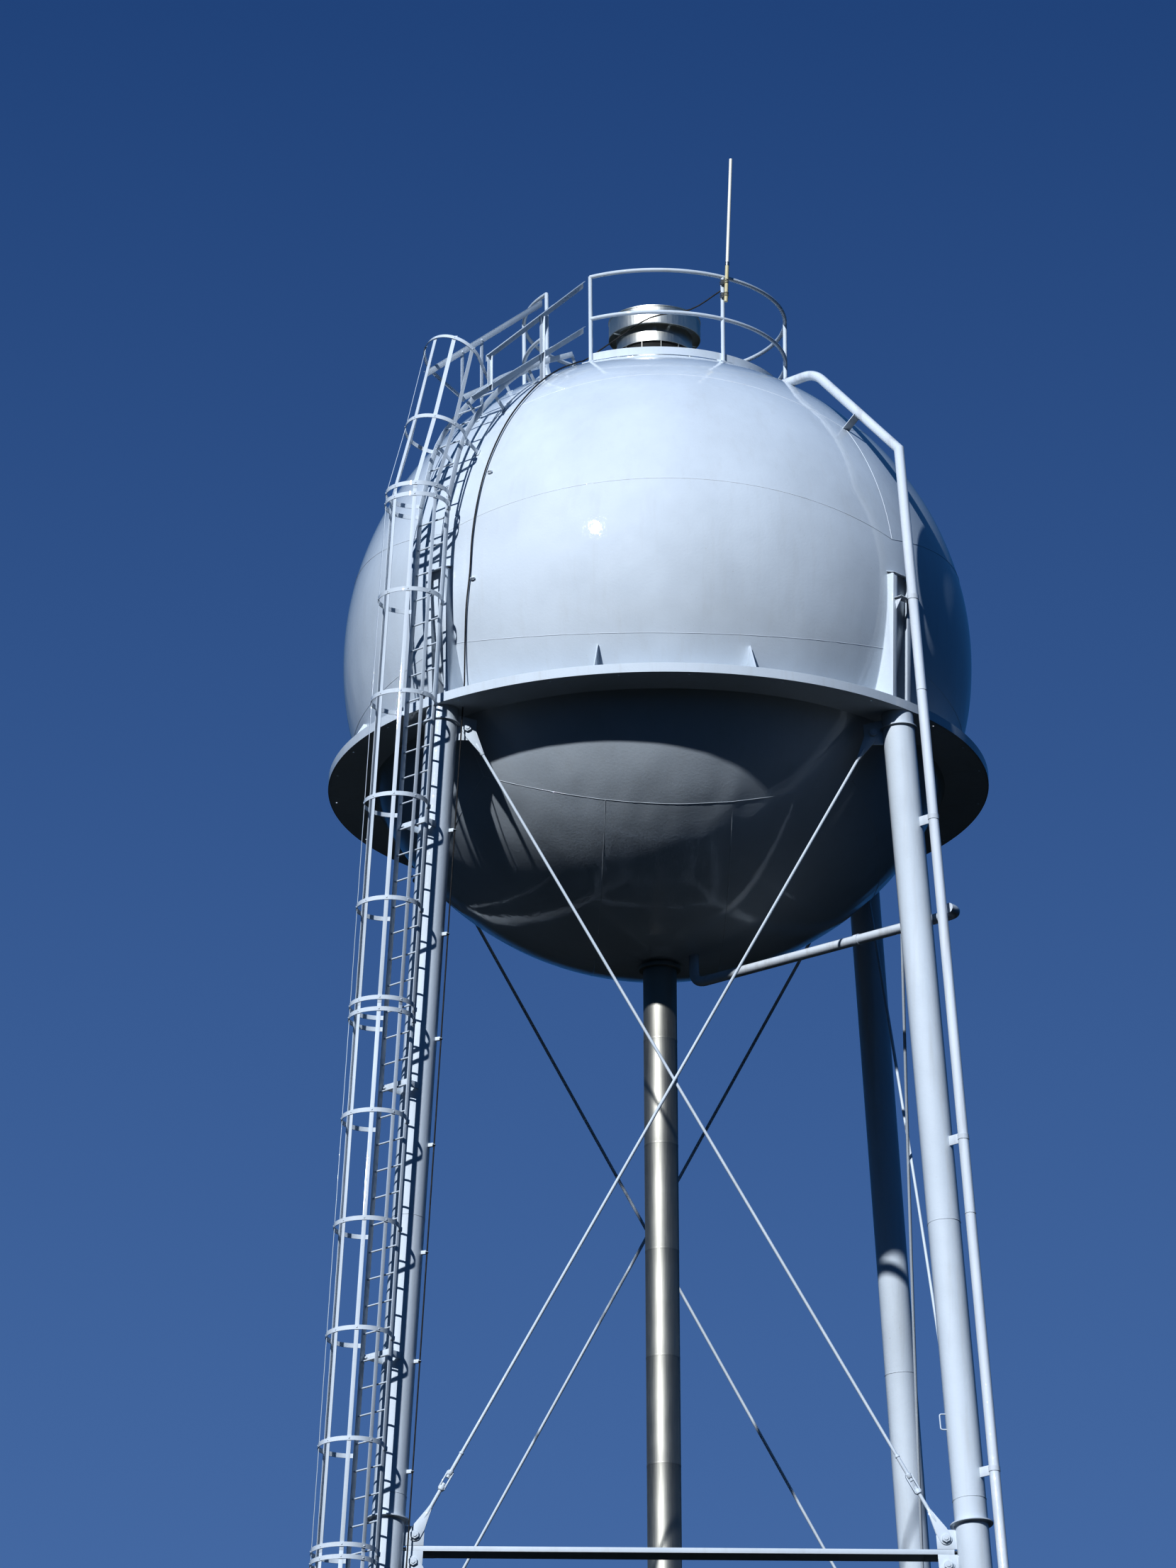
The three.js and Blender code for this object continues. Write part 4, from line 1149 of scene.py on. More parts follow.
def vent_throat():
    """The neck, the ribs of its screened band, the arms that carry the hood, and the sheet's seam."""
    root, sill, hidden = SCREEN_REACH - 0.004, TANK_TOP - 0.1, HOOD_BOTTOM + 0.05
    bm = bmesh.new()
    lower = [
        (0, sill), (VENT_NECK, sill), (VENT_NECK, SCREEN_BOTTOM), (SCREEN_REACH, SCREEN_BOTTOM),
        (root, SCREEN_BOTTOM), (root, VENT_BAND), (VENT_NECK - 0.002, VENT_BAND),
        (VENT_NECK, VENT_BAND + 0.002), (VENT_NECK, HOOD_BOTTOM + 0.02), (VENT_NECK - 0.02, hidden),
        (0, hidden),
    ]
    stamp(bm, turned(lower, 96))
    low, high = (SCREEN_REACH - 0.002, -0.004, SCREEN_BOTTOM), (VENT_NECK - 0.004, 0.004, VENT_BAND)
    stamp(bm, block(low, high, 0.001), *around(12, 7))
    low, high = (0.30, -0.015, HOOD_BOTTOM + 0.01), (VENT_HOOD - 0.012, 0.015, HOOD_BOTTOM + 0.016)
    stamp(bm, block(low, high, 0.001), *around(4, 20))
    lap, low = VENT_NECK + 0.0016, VENT_BAND + 0.010
    seam = [(VENT_NECK, low), (lap, low), (lap, HOOD_BOTTOM), (VENT_NECK, HOOD_BOTTOM)]
    stamp(bm, swept(seam, -96, -90, 3))
    piece("vent_throat", bm, [vent_steel], ["vent_neck"])


def vent_cover():
    sheet, lip, ceiling, dome = 0.003, 0.003, HOOD_TOP - 0.012, 0.050
    lid = []
    for share in evenly(0, 1, 8):
        lid.append((VENT_HOOD * (1 - share), HOOD_TOP + dome * math.sin(math.pi / 2 * share) ** 0.8))
    shell = [
        (0, ceiling), (VENT_HOOD - sheet, ceiling), (VENT_HOOD - sheet, HOOD_BOTTOM),
        (VENT_HOOD - sheet / 2, HOOD_BOTTOM - 0.002), (VENT_HOOD, HOOD_BOTTOM),
        (VENT_HOOD + lip, HOOD_BOTTOM + 0.004), (VENT_HOOD, HOOD_BOTTOM + 0.010), *lid,
    ]
    bm = bmesh.new()
    stamp(bm, turned(shell, 96))
    stamp(bm, collar(VENT_HOOD - 0.002, VENT_HOOD + 0.006, ceiling, HOOD_TOP + 0.002, steps=96))
    outer, low, high = VENT_HOOD + 0.002, HOOD_BOTTOM + 0.006, HOOD_TOP - 0.014
    strap = [(VENT_HOOD, low), (outer, low), (outer, high), (VENT_HOOD, high)]
    for azimuth in (-30, 90, 210):
        stamp(bm, swept(strap, azimuth - 92, azimuth - 88, 3))
        for rise in (0.04, 0.105, 0.17):
            head = polar(VENT_HOOD + 0.001, azimuth, HOOD_BOTTOM + rise)
            stamp(bm, prism(12, 0.006, 0.003, 0.7), standing(head, azimuth) @ FACING_X)
    piece("vent_cover", bm, [vent_steel], ["vent_hood"])


# Ladder up the front left leg
LADDER_OFFSET = 0.340
LADDER_HALF = 0.203
LADDER_BAR = 0.010
LADDER_DEPTH = 0.064
LADDER_BOTTOM = 0.420
LADDER_KINK = TANK_CENTRE + 0.900
RUNG_RADIUS = 0.0105
CAGE_JOINT = TANK_CENTRE + 0.862
CAGE_SECTION = 20 * RUNG_PITCH
CAGE_SECTIONS = 5
LADDER_JOINTS = [CAGE_JOINT - CAGE_SECTION * i for i in (4, 3, 2, 1)]
FIRST_ARM = 2.139
LAST_ARM = RING_BOTTOM - 1.0
LADDER_INNER = LADDER_OFFSET - LADDER_DEPTH / 2
LADDER_OUTER = LADDER_OFFSET + LADDER_DEPTH / 2
RUNG_END = LADDER_HALF + 0.004
SPLICE_BOLTS = (-0.11, -0.04, 0.04, 0.11)


def ladder():
    ends = [LADDER_BOTTOM, *LADDER_JOINTS, LADDER_KINK]
    for number, (low, high) in enumerate(zip(ends, ends[1:]), 1):
        bm = ladder_length(low, high)
        bm.transform(LADDER_FRAME)
        painted(f"ladder_run_{number}", bm, f"ladder_length_{number}")


def ladder_length(low, high):
    """The rails, rungs and arms from low to high, and the fish plates at the upper joint."""
    bm = bmesh.new()
    bottom, top = low + SEAT_GAP, high - SEAT_GAP
    for start in (-LADDER_HALF - LADDER_BAR, LADDER_HALF):
        stamp(bm, block((LADDER_INNER, start, bottom), (LADDER_OUTER, start + LADDER_BAR, top)))
    rungs = heights(LADDER_BOTTOM + RUNG_PITCH / 2, min(high, LADDER_KINK - 0.1), RUNG_PITCH)
    stamp(bm, rung(LADDER_OFFSET, 0), *stacked([z for z in rungs if z > low]))
    arms = heights(FIRST_ARM, min(high, LAST_ARM), CAGE_SECTION / 2)
    stamp(bm, ladder_arm(), *stacked([z for z in arms if z > low]))
    if high < LADDER_KINK:
        stamp(bm, ladder_splice(), shift(0, 0, high))
    return bm


def rung(x, z):
    return tube([(x, -RUNG_END, z), (x, RUNG_END, z)], RUNG_RADIUS, 12)


def ladder_arm():
    """A bracket from the leg to the rails: two flat arms and a cross bar."""
    bm = bmesh.new()
    root, half, thickness, inner = 0.118, 0.038, 0.012, LADDER_INNER
    for start in (-0.142, 0.130):
        stamp(bm, block((root, start, -half), (inner + 0.004, start + thickness, half)))
    stamp(bm, block((inner - 0.010, -RUNG_END, -half), (inner + 0.002, RUNG_END, half)))
    for y in (-LADDER_HALF + 0.03, LADDER_HALF - 0.03):
        stamp(bm, hex_bolt(0.024, 0.014), shift(inner + 0.004, y, 0) @ FACING_X)
    return bm


def ladder_splice():
    """Fish plates inside the rails where two lengths of ladder meet."""
    bm = bmesh.new()
    half, thickness = 0.15, 0.008
    for side in (-1, 1):
        near = (LADDER_INNER + 0.008, side * LADDER_HALF, -half)
        stamp(bm, block(near, (LADDER_INNER + 0.056, side * (LADDER_HALF - thickness), half)))
        face = turn_about_z(0 if side < 0 else 180) @ FACING_FRONT
        bolts = [(LADDER_OFFSET, side * (LADDER_HALF + LADDER_BAR), z) for z in SPLICE_BOLTS]
        stamp(bm, hex_bolt(0.020), *[shift(*bolt) @ face for bolt in bolts])
    return bm


# Ladder cage: flat hoops round upright straps, leaning in over the tank's shoulder at the top
CAGE_RADIUS = 0.343
CAGE_CENTRE = LADDER_OFFSET + 0.276
HOOP_HEIGHT = 0.050
HOOP = 0.007
STRAP_WIDTH = 0.045
STRAP = 0.006
CAGE_END = LADDER_HALF + LADDER_BAR + 0.0006
CAGE_SPREAD = 180 - math.degrees(math.asin(CAGE_END / CAGE_RADIUS))
STRAP_ANGLES = [CAGE_SPREAD * 2 * i / 7 for i in (-2, -1, 0, 1, 2)]
PLAIN_END = math.sqrt(CAGE_RADIUS ** 2 - CAGE_END ** 2)
END_HOOP = 0.066
CAGE_BEND = 0.090
OPEN_SWEEP = 100

# The leaning hoops: distance out, height, lean, and how far their ends run on behind the middle
CAGE_UPPER = ((3.640, 34.240, 17, 0.262), (3.362, 35.215, 34, 0.500))


def hoop(end_reach):
    """A hoop round the origin whose ends run on to end_reach behind it, beside the rails."""
    bm = bmesh.new()
    low, high, outer, ease = -HOOP_HEIGHT / 2, HOOP_HEIGHT / 2, CAGE_RADIUS + HOOP, 0.001
    section = [(CAGE_RADIUS, low), (outer, low), (outer, high), (CAGE_RADIUS, high)]
    open_ended = end_reach > CAGE_RADIUS
    sweep = OPEN_SWEEP if open_ended else CAGE_SPREAD
    stamp(bm, swept(section, -sweep, sweep, 40))
    start_x = CAGE_RADIUS * math.cos(math.radians(sweep)) + 0.004
    start_y = CAGE_RADIUS * math.sin(math.radians(sweep))
    for side in (-1, 1):
        if open_ended:
            corners = [
                (start_x, side * start_y), (-end_reach, side * CAGE_END),
                (-end_reach - 0.002, side * (CAGE_END + HOOP)), (start_x, side * (start_y + HOOP)),
            ]
            stamp(bm, raised([(x, y, low) for x, y in corners], (0, 0, HOOP_HEIGHT), ease))
        else:
            near = (-end_reach - 0.045, side * CAGE_END, low)
            stamp(bm, block(near, (-end_reach + 0.012, side * (CAGE_END + HOOP), high), ease))
    for angle in STRAP_ANGLES:
        stamp(bm, prism(8, 0.011, 0.005, 0.6), turn_about_z(angle) @ shift(outer, 0, 0) @ FACING_X)
    return bm


def cage_length(top):
    """One length of cage: its end hoops, hoops four rungs apart between them, and upright straps."""
    bm = bmesh.new()
    bottom = top - CAGE_SECTION
    between = [bottom + 4 * RUNG_PITCH * i for i in range(1, 5)]
    hoops = [bottom + END_HOOP, *between, top - END_HOOP]
    stamp(bm, hoop(PLAIN_END), *stacked(hoops, CAGE_CENTRE))
    for angle in STRAP_ANGLES:
        stamp(bm, cage_strap(bottom + SEAT_GAP, top - SEAT_GAP, angle))
    return bm


def cage_strap(low, high, angle):
    """An upright strap inside the hoops, in the ladder's frame."""
    half = STRAP_WIDTH / 2
    bm = block((CAGE_RADIUS - STRAP, -half, low), (CAGE_RADIUS, half, high), 0.0012)
    bm.transform(shift(CAGE_CENTRE, 0, 0) @ turn_about_z(angle))
    return bm


def ladder_cage():
    for number in range(1, CAGE_SECTIONS + 1):
        bm = cage_length(CAGE_JOINT - (CAGE_SECTIONS - number) * CAGE_SECTION)
        bm.transform(LADDER_FRAME)
        painted(f"safety_cage_{number}", bm, f"cage_section_{number}")
    bm = bmesh.new()
    stamp(bm, hoop(PLAIN_END), LADDER_FRAME @ shift(CAGE_CENTRE, 0, CAGE_JOINT + END_HOOP))
    for angle in STRAP_ANGLES:
        stamp(bm, cage_strap(CAGE_JOINT + SEAT_GAP, CAGE_JOINT + CAGE_BEND, angle), LADDER_FRAME)
    stamp(bm, upper_cage(), ACCESS_FRAME)
    painted("safety_cage_top", bm, "cage_top")


def upper_cage():
    """The cage's leaning part, in the access frame."""
    bm = bmesh.new()
    stations = [(leg_reach(CAGE_JOINT) + CAGE_CENTRE, CAGE_JOINT + CAGE_BEND - 0.04, 0, 0.0), *CAGE_UPPER]
    places = []
    for reach, z, lean, _ in stations:
        places.append(shift(reach, 0, z) @ tilt(-lean))
    for place, (_, _, _, end_reach) in zip(places[1:], stations[1:]):
        stamp(bm, hoop(end_reach), place)
    last = places[2] @ shift(0, 0, 0.04)
    for angle in STRAP_ANGLES:
        turn = turn_about_z(angle)
        middle = Vector((CAGE_RADIUS - STRAP / 2, 0, 0))
        stops = [place @ turn @ middle for place in (*places, last)]
        route = [stops[0], *through(stops[1:3], 2)[:-1], stops[2], stops[3]]
        stamp(bm, flat_strap(route, turn, STRAP_WIDTH / 2))
    return bm


def flat_strap(route, turn, half):
    """A flat bar that follows a route, its width across the direction turn gives."""
    bm = bmesh.new()
    across = turn @ Vector((0, half, 0))
    outward = turn @ Vector((STRAP / 2, 0, 0))
    corners = [across + outward, across - outward, -across - outward, -across + outward]
    face = bm.faces.new([bm.verts.new(route[0] + corner) for corner in corners])
    for before, after in zip(route, route[1:]):
        grown = bmesh.ops.extrude_face_region(bm, geom=[face])["geom"]
        face = next(made for made in of_kind(grown, BMFace) if len(made.verts) == len(corners))
        bmesh.ops.translate(bm, verts=of_kind(grown, BMVert), vec=after - before)
    return closed(bm)


# Roof ladder and the angle rails beside it, in the access frame
ROOF_ROUTE = ((3.654, 33.412), (3.400, 34.230), (2.900, 34.900), (2.350, 35.400), (1.620, 35.800))


def ribbon(points, width):
    """The outline of a flat bar that follows (x, z) points."""
    left, right = [], []
    for i, (x, z) in enumerate(points):
        ax, az = points[max(i - 1, 0)]
        bx, bz = points[min(i + 1, len(points) - 1)]
        length = math.hypot(bx - ax, bz - az)
        nx, nz = -(bz - az) / length, (bx - ax) / length
        left.append((x + nx * width / 2, z + nz * width / 2))
        right.append((x - nx * width / 2, z - nz * width / 2))
    return left + right[::-1]


def roof_ladder():
    bm = bmesh.new()
    curve = [(point.x, point.z) for point in through([(x, 0, z) for x, z in ROOF_ROUTE], 4)]
    for start in (-LADDER_HALF - LADDER_BAR, LADDER_HALF):
        stamp(bm, plate(ribbon(curve, LADDER_DEPTH), start, LADDER_BAR, 0.0015))
    lengths = [0.0]
    for (ax, az), (bx, bz) in zip(curve, curve[1:]):
        lengths.append(lengths[-1] + math.hypot(bx - ax, bz - az))
    count = int(lengths[-1] / RUNG_PITCH)
    for i in range(count):
        stamp(bm, rung(*point_at(curve, lengths, (i + 0.5) * lengths[-1] / count)))
    for x, z in ROOF_ROUTE[1:]:
        stamp(bm, dome_feet(math.hypot(x, z - TANK_CENTRE)), dome_frame(x, z))
    bm.transform(ACCESS_FRAME)
    painted("dome_ladder", bm, "roof_ladder")


def dome_frame(x, z):
    """A frame at the tank's centre, its X axis towards a point of the access plane."""
    return shift(0, 0, TANK_CENTRE) @ Matrix.Rotation(-math.atan2(z - TANK_CENTRE, x), 4, "Y")


def dome_feet(reach):
    """Two legs from the tank out to the roof ladder's rails, with their foot pads."""
    bm = bmesh.new()
    inner, outer, half = LADDER_HALF - 0.012, LADDER_HALF - 0.004, 0.025
    pad, margin, lift = 0.04, 0.02, 0.006
    for side in (-1, 1):
        near, far = (TANK_RADIUS - 0.02, side * inner, -half), (reach, side * outer, half)
        stamp(bm, block(near, far, 0.0015))
        near = (TANK_RADIUS - lift, side * (inner - margin), -pad)
        stamp(bm, block(near, (TANK_RADIUS + lift, side * (outer + margin), pad)))
    return bm


def point_at(curve, lengths, distance):
    """The point of a curve at a distance along it."""
    for i in range(len(curve) - 1):
        if distance <= lengths[i + 1]:
            share = (distance - lengths[i]) / (lengths[i + 1] - lengths[i])
            (ax, az), (bx, bz) = curve[i], curve[i + 1]
            return ax + (bx - ax) * share, az + (bz - az) * share
    return curve[-1]


ANGLE_WIDTH = 0.080
ANGLE_FLANGE = 0.040
ANGLE_THICKNESS = 0.007
POST_HALF = 0.025
POST_THICKNESS = 0.006

# Each rail's distance to the side, its top and mid lines, and how far out its post and its tie stand
DOME_RAILS = {
    "right": {
        "side": 0.300,
        "lines": (((3.150, 35.265), (1.545, 36.690)), ((3.396, 34.690), (1.545, 36.130))),
        "post": 2.250,
        "tie": 3.110,
    },
    "left": {
        "side": -0.240,
        "lines": (((3.542, 35.114), (1.640, 36.600)), ((2.985, 34.992), (1.743, 35.790))),
        "post": 2.633,
        "tie": 2.950,
    },
}


def height_on(line, x):
    (x0, z0), (x1, z1) = line
    return z0 + (z1 - z0) * (x - x0) / (x1 - x0)


def dome_rail(name, side, lines, post, tie):
    """A top rail and a mid rail of angle iron on posts that stand on the tank."""
    bm = bmesh.new()
    outward = 1 if side > 0 else -1
    ease = 0.0012

    def across(near, far):
        return sorted((side + outward * near, side + outward * far))

    for low, high in lines:
        for depth, width in ((ANGLE_WIDTH, ANGLE_THICKNESS), (ANGLE_THICKNESS, ANGLE_FLANGE)):
            start, end = across(0, width)
            outline = [low, high, (high[0], high[1] - depth), (low[0], low[1] - depth)]
            stamp(bm, plate(outline, start, end - start, ease))
    surface = TANK_CENTRE + math.sqrt(TANK_RADIUS ** 2 - post ** 2 - side ** 2) - 0.02
    web0, web1 = across(ANGLE_THICKNESS, ANGLE_THICKNESS + POST_THICKNESS)
    wing0, wing1 = across(ANGLE_THICKNESS, ANGLE_FLANGE + ANGLE_THICKNESS)
    facing = Matrix.Rotation(outward * math.pi / 2, 4, "X")
    for reach, foot in ((post, surface), (tie, height_on(lines[1], tie) - 0.06)):
        inner, outer = reach - POST_HALF, reach + POST_HALF
        top = height_on(lines[0], outer) - 0.010
        stamp(bm, block((inner, web0, foot), (outer, web1, top), ease))
        stamp(bm, block((inner, wing0, foot), (inner + POST_THICKNESS, wing1, top), ease))
        for line in lines:
            stamp(bm, hex_bolt(0.024), shift(reach + 0.006, side, height_on(line, reach) - 0.045) @ facing)
    bm.transform(ACCESS_FRAME)
    painted(f"dome_rail_{name}", bm, f"roof_ladder_rail_{name}")


# Overflow pipe and drain pipe
PIPE_RADIUS = 0.057
PIPE_FROM_LEG = 0.370
PIPE_BEND = 0.160
PIPE_FOOT = 0.700
HIGHEST_ARM = 29.686
ARM_PITCH = 3.719
HEAD_FACE = 3.622
HEAD_BRACKET = 32.300
PIPE_JOINTS = [PIPE_FOOT + 6.1 * i for i in range(1, 6)]
ARM_END = PIPE_FROM_LEG - PIPE_RADIUS + 0.006

# The overflow pipe's run over the tank's shoulder: distances from the tower's axis, and heights
OUTLET = (2.410, TANK_CENTRE + 2.925)
SHOULDER = TANK_CENTRE + 1.640


def overflow_pipe():
    bm = bmesh.new()
    reach, outlet = OUTLET
    corners = [
        (1.800 - leg_reach(outlet), 0, outlet),
        (reach - leg_reach(outlet), 0, outlet),
        (PIPE_FROM_LEG, 0, SHOULDER),
        (PIPE_FROM_LEG, 0, PIPE_FOOT),
        (PIPE_FROM_LEG + 0.220, 0, 0.480),
    ]
    stamp(bm, head_bracket(HEAD_BRACKET))
    upper = rounded(corners[:3], PIPE_BEND, 8)
    lower = rounded(corners[2:], PIPE_BEND, 8)
    stamp(bm, tube([*upper, *lower[1:]], PIPE_RADIUS, 28))
    stamp(bm, pipe_arm(), *stacked(heights(HIGHEST_ARM, PIPE_FOOT + PIPE_BEND, -ARM_PITCH)))
    joint = collar(PIPE_RADIUS - 0.002, PIPE_RADIUS + 0.004, -0.006, 0.006, 0.003)
    stamp(bm, joint, *stacked(PIPE_JOINTS, PIPE_FROM_LEG))
    bm.transform(OVERFLOW_FRAME)
    stamp(bm, dome_support(OUTLET, (PIPE_FROM_LEG + leg_reach(SHOULDER), SHOULDER)), OUTLET_FRAME)
    piece("overflow_downpipe", bm, [pipe_paint], ["overflow_pipe"])


def dome_support(start, end):
    """A plate that stands on the tank's shoulder and holds up the pipe's sloped run."""
    start, end, tank = Vector(start), Vector(end), Vector((0, TANK_CENTRE))
    middle = start.lerp(end, 0.53)
    foot = tank + (middle - tank).normalized() * (TANK_RADIUS - 0.012)
    along = (end - start).normalized() * 0.005
    return plate([middle - along, middle + along, foot + along, foot - along], -0.055, 0.110)


def head_bracket(z):
    """A shelf on two gussets, from the column head to a saddle round the pipe."""
    bm = bmesh.new()
    inner, half = HEAD_FACE - leg_reach(z), 0.140
    stamp(bm, block((inner, -half, z + 0.020), (ARM_END, half, z + 0.028)))
    gusset = [(inner, z + 0.022), (ARM_END - 0.010, z + 0.022), (inner, z - 0.110)]
    for start in (-0.112, 0.104):
        stamp(bm, plate(gusset, start, 0.008))
    stamp(bm, pipe_saddle(), shift(PIPE_FROM_LEG, 0, z + 0.024))
    return bm


def pipe_arm():
    """A flat arm from the leg to a saddle round the pipe."""
    half, height = 0.006, 0.055
    bm = bmesh.new()
    stamp(bm, block((LEG_RADIUS - 0.010, -half, -height), (ARM_END, half, height)))
    stamp(bm, pipe_saddle(), shift(PIPE_FROM_LEG, 0, 0))
    return bm


def pipe_saddle():
    return collar(PIPE_RADIUS - 0.001, PIPE_RADIUS + 0.005, -0.028, 0.028)


def drain_pipe():
    level = TANK_CENTRE - 3.850
    end = leg_reach(level) + PIPE_FROM_LEG
    corners = [
        (0.430, 0.090, TANK_CENTRE - 3.480),
        (0.430, 0.090, level),
        (end, 0.310, level),
        (end, 2 * PIPE_RADIUS + 0.0023, level),
    ]
    bm = bmesh.new()
    stamp(bm, tube(rounded(corners, PIPE_BEND, 8), PIPE_RADIUS, 28))
    near, far = Vector(corners[1]), Vector(corners[2])
    coupling = collar(PIPE_RADIUS - 0.002, PIPE_RADIUS + 0.007, -0.030, 0.030, 0.002)
    stamp(bm, coupling, Matrix.Translation(near.lerp(far, 0.62)) @ pointing((far - near).normalized()))
    bm.transform(OUTLET_FRAME)
    piece("drain_line", bm, [pipe_paint], ["drain_pipe"])


# Antenna on the front right guardrail post, and its cable
ANTENNA_AZIMUTH = 28


def antenna():
    reach = RAIL_RADIUS + 0.070
    foot = polar(reach, ANTENNA_AZIMUTH, RAIL_TOP - 0.330)
    tip = foot + Vector((0.075, 0, 1.780))
    mast = [foot.lerp(tip, 0.18), foot.lerp(tip, 0.992), tip]
    base = [foot, foot.lerp(tip, 0.26)]
    band = [foot.lerp(tip, 0.25), foot.lerp(tip, 0.275)]
    bm = bmesh.new()
    for skin, (run, radius) in enumerate(((mast, 0.019), (base, 0.022), (band, 0.0245))):
        stamp(bm, tube(run, radius, 20), material=skin)
    for z in (RAIL_TOP - 0.240, RAIL_TOP - 0.080):
        stamp(bm, antenna_clamp(reach, z), material=2)
    piece("whip_antenna", bm, [antenna_skin, antenna_base_skin, zinc], ["antenna"])


def antenna_clamp(reach, z):
    """Two U-bolts through a saddle plate between the post and the antenna."""
    bm = bmesh.new()
    place = turn_about_z(ANTENNA_AZIMUTH - 90)
    start, end = RAIL_RADIUS + RAIL_PIPE + 0.001, reach - 0.020
    stamp(bm, block((start, -0.045, z - 0.026), (end, 0.045, z + 0.026), 0.0015), place)
    middle = (start + end) / 2
    for centre, radius, side in ((RAIL_RADIUS, RAIL_PIPE + 0.005, -1), (reach + 0.004, 0.029, 1)):
        for level in (z - 0.014, z + 0.014):
            bend = [(centre + side * x, y, level) for x, y in arc(radius, -90, 90, 12)]
            stamp(bm, tube([(middle, -radius, level), *bend, (middle, radius, level)], 0.004, 8), place)
    return bm


CABLE_RADIUS = 0.008
CABLE_STAND_OFF = 0.028
CABLE_FROM_LEG = 0.241
CABLE_SIDE = 24
CABLE_CLIPS = ((-36.3, 20.5), (-37.5, -1.2))
LOWEST_CLIP = 1.5
CLIP_PITCH = 1.219

# The cable's way down the tank, as azimuths and latitudes
TANK_CABLE = (
    (-35.2, 63), (-35.4, 56), (-35.7, 49), (-36, 42), (-36.6, 35), (-37, 28), (-37.4, 21),
    (-37.6, 14), (-37.8, 7), (-38, 0), (-39, -6), (-40, -12),
)


def cable_on_leg(z):
    angle = math.radians(CABLE_SIDE)
    out = spread(z)
    return Vector((-out + CABLE_FROM_LEG * math.cos(angle), -out - CABLE_FROM_LEG * math.sin(angle), z))


def cable_route():
    return [
        polar(1.545, 26, RAIL_TOP - 0.200),
        polar(1.400, 14, RAIL_TOP - 0.420),
        polar(1.300, -5, RAIL_TOP - 0.500),
        polar(1.380, -22, TANK_TOP - 0.060),
        polar(1.440, -35.2, TANK_TOP - 0.255),
        *[on_tank(azimuth, latitude, CABLE_STAND_OFF) for azimuth, latitude in TANK_CABLE],
        cable_on_leg(RING_BOTTOM + 0.300),
    ]


def antenna_cable():
    bm = bmesh.new()
    stamp(bm, tube([*through(cable_route(), 4), cable_on_leg(0.100)], CABLE_RADIUS, 10))
    sideways = turn_about_z(-CABLE_SIDE)
    levels = heights(LOWEST_CLIP, RING_BOTTOM - 0.3, CLIP_PITCH)
    places = [Matrix.Translation(cable_on_leg(z)) @ sideways for z in levels]
    for azimuth, latitude in CABLE_CLIPS:
        upright = standing(on_tank(azimuth, latitude, CABLE_STAND_OFF), azimuth)
        places.append(upright @ tilt(-latitude))
    stamp(bm, cable_clip(), *places, material=1)
    runs = ["antenna_cable_tank_run", "antenna_cable_leg_run"]
    piece("coax_cable", bm, [cable_rubber, weld_paint], runs)


def cable_clip():
    """A stand-off block with a strap over the cable, its foot towards -X."""
    bm = bmesh.new()
    face = -0.004
    stamp(bm, block((-CABLE_FROM_LEG + LEG_RADIUS - 0.004, -0.014, -0.020), (-0.006, 0.014, 0.020)))
    stamp(bm, block((-0.012, -0.030, -0.013), (face, 0.030, 0.013)))
    over = [(x, y, 0) for x, y in arc(0.0125, -90, 90, 10)]
    stamp(bm, tube([(-0.008, -0.024, 0), *over, (-0.008, 0.024, 0)], 0.0045, 8))
    for y in (-0.023, 0.023):
        stamp(bm, hex_bolt(0.012), shift(face, y, 0) @ FACING_X)
    return bm


# Fall-arrest cable up the ladder, just beside its middle, with black guides
def safety_line():
    x, y = LADDER_OFFSET + 0.018, 0.030
    bm = bmesh.new()
    stamp(bm, tube([(x, y, 0.9), (x, y, LADDER_KINK + 0.05)], 0.0048, 8), LADDER_FRAME)
    low, high = (LADDER_OFFSET - 0.014, y - 0.030, -0.020), (x + 0.012, y + 0.012, 0.020)
    levels = heights(LADDER_BOTTOM + RUNG_PITCH * 4.5, LADDER_KINK - 0.3, RUNG_PITCH * 24)
    guides = [LADDER_FRAME @ place for place in stacked(levels)]
    stamp(bm, block(low, high, 0.003), *guides, material=1)
    piece("ladder_safety_line", bm, [zinc, black_plastic])


# Floor, light and camera
STUDIO_RADIUS = 400.0


def floor():
    bm = bmesh.new()
    bmesh.ops.create_circle(bm, cap_ends=True, radius=STUDIO_RADIUS, segments=96)
    finish = Finish("pale_floor")
    base = finish.mix(finish.patchy(0.5, 0.0, 1.0), (0.70, 0.71, 0.72), (0.66, 0.67, 0.68))
    roughness = finish.patchy(1.0, 0.75, 0.85)
    material = finish.surface(base, roughness, finish.height(finish.grain(6.0), 0.002))
    stage("floor", bm, material)


def stage(name, bm, material):
    """Adds a part of the studio, which throws no light of its own back at the tower."""
    made = placed(name, mesh_of(name, bm, [material]))
    made.visible_diffuse = False
    made.visible_glossy = False
    made.visible_shadow = False


def set_colours(ramp, colours):
    """Gives a ramp its colours, each with its position."""
    stops = ramp.color_ramp.elements
    for _ in colours[2:]:
        stops.new(0.5)
    for stop, (position, colour) in zip(stops, colours):
        stop.position = position
        stop.color = (*colour, 1)


# The backdrop's colours by height, as shares of its radius
BACKDROP = (
    (0.000, (0.190, 0.320, 0.570)),
    (0.307, (0.112, 0.223, 0.461)),
    (0.525, (0.038, 0.109, 0.284)),
    (1.000, (0.024, 0.075, 0.210)),
)


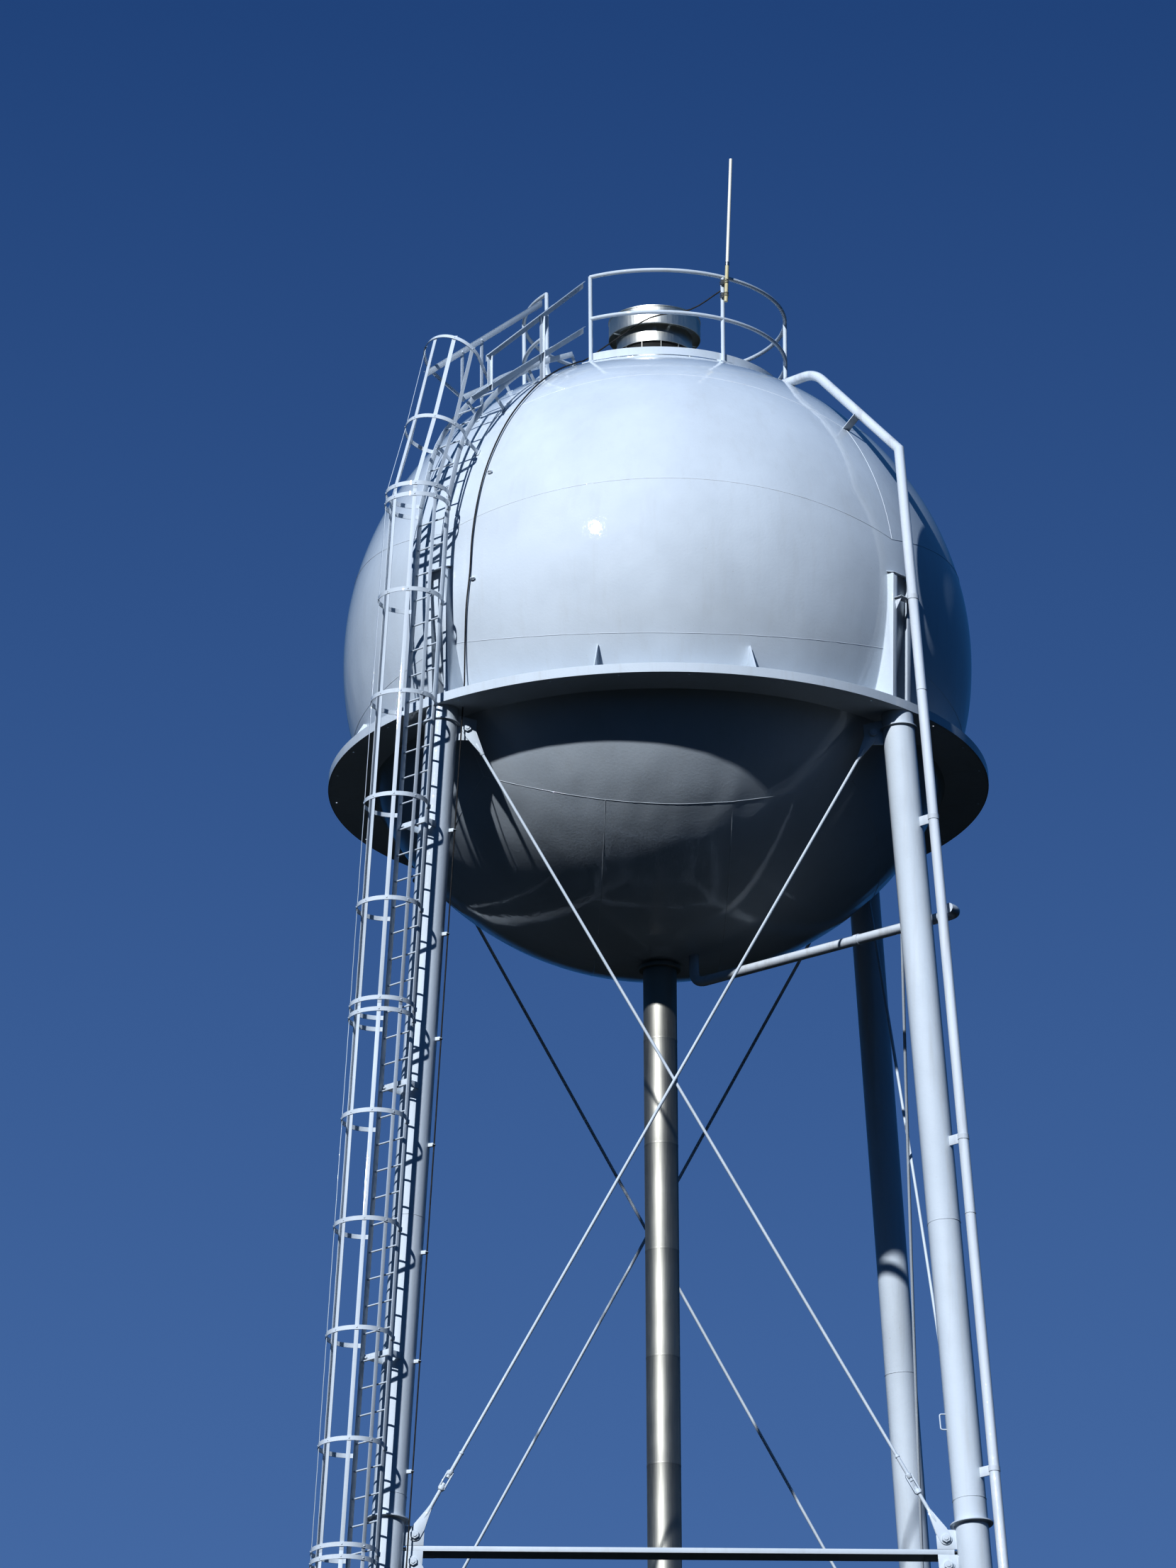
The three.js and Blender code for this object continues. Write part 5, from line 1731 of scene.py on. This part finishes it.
def backdrop():
    """A plain blue dome round the studio, paler towards the floor."""
    bm = bmesh.new()
    bmesh.ops.create_uvsphere(bm, u_segments=64, v_segments=64, radius=STUDIO_RADIUS)
    bmesh.ops.reverse_faces(bm, faces=bm.faces)
    finish = Finish("blue_backdrop")
    split = finish.node("ShaderNodeSeparateXYZ")
    finish.link(finish.place, split.inputs["Vector"])
    ramp = finish.node("ShaderNodeValToRGB")
    finish.link(finish.levels(split.outputs["Z"], 0.0, STUDIO_RADIUS), ramp.inputs["Fac"])
    set_colours(ramp, BACKDROP)
    glow = finish.node("ShaderNodeEmission")
    finish.link(ramp.outputs["Color"], glow.inputs["Color"])
    finish.link(glow.outputs["Emission"], finish.tree.nodes["Material Output"].inputs["Surface"])
    finish.material.cycles.emission_sampling = "NONE"
    stage("backdrop", bm, finish.material)


# The soft light round the tower: blue from above, almost none from below
SOFT_LIGHT = ((0.0, (0.003, 0.005, 0.005)), (0.14, (0.028, 0.116, 0.280)))


def soft_light():
    world = bpy.data.worlds.new("studio")
    bpy.context.scene.world = world
    world.use_nodes = True
    tree = world.node_tree
    split = tree.nodes.new("ShaderNodeSeparateXYZ")
    tree.links.new(tree.nodes.new("ShaderNodeTexCoord").outputs["Generated"], split.inputs["Vector"])
    ramp = tree.nodes.new("ShaderNodeValToRGB")
    tree.links.new(split.outputs["Z"], ramp.inputs["Fac"])
    set_colours(ramp, SOFT_LIGHT)
    tree.links.new(ramp.outputs["Color"], tree.nodes["Background"].inputs["Color"])


def lamp(name, azimuth, elevation, energy, width, colour):
    """A distant lamp; width is how many degrees of sky it fills, so how soft its shadows are."""
    light = bpy.data.lights.new(name, "SUN")
    light.energy = energy
    light.angle = math.radians(width)
    light.color = colour
    made = placed(name, light)
    rise = math.radians(elevation)
    made.rotation_euler = polar(math.cos(rise), azimuth, math.sin(rise)).to_track_quat("Z", "Y").to_euler()
    return made


def lamps():
    lamp("key", -26, 32, 4.4, 1.0, (1.0, 1.0, 1.0))
    fill = lamp("back_fill", 185, 25, 0.8, 30.0, (0.90, 0.96, 1.0))
    fill.visible_glossy = False


# The view: the lens in millimetres, where the camera stands, and what is to its right, above and ahead
LENS = 177.04
SENSOR = 36
VIEW_FROM = Vector((-4.4416, -80.9940, 0.4491))
VIEW_RIGHT = Vector((0.9990516, -0.04330112, -0.00457369))
VIEW_UP = Vector((-0.01103823, -0.35347561, 0.93537861))
VIEW_AHEAD = Vector((0.04211963, 0.93444101, 0.35361834))


def camera():
    """A long lens far in front of the tower, looking up at the tank."""
    data = bpy.data.cameras.new("view")
    data.sensor_width = SENSOR
    data.lens = LENS
    data.clip_start = 1
    data.clip_end = 1000
    made = placed("view", data)
    place = Matrix((VIEW_RIGHT, VIEW_UP, -VIEW_AHEAD)).transposed().to_4x4()
    place.translation = VIEW_FROM
    made.matrix_world = place
    bpy.context.scene.camera = made
    bpy.context.scene.view_settings.view_transform = "Standard"
    bpy.context.scene.view_settings.gamma = 0.75


camera()
tank_plates()
tank_weld_seams()
balcony_ring()
legs()
struts()
tie_rods()
column_heads()
riser()
roof_guardrail()
vent()
ladder()
ladder_cage()
roof_ladder()
for rail_name, rail_sizes in DOME_RAILS.items():
    dome_rail(rail_name, **rail_sizes)
overflow_pipe()
drain_pipe()
antenna()
antenna_cable()
safety_line()
floor()
backdrop()
soft_light()
lamps()
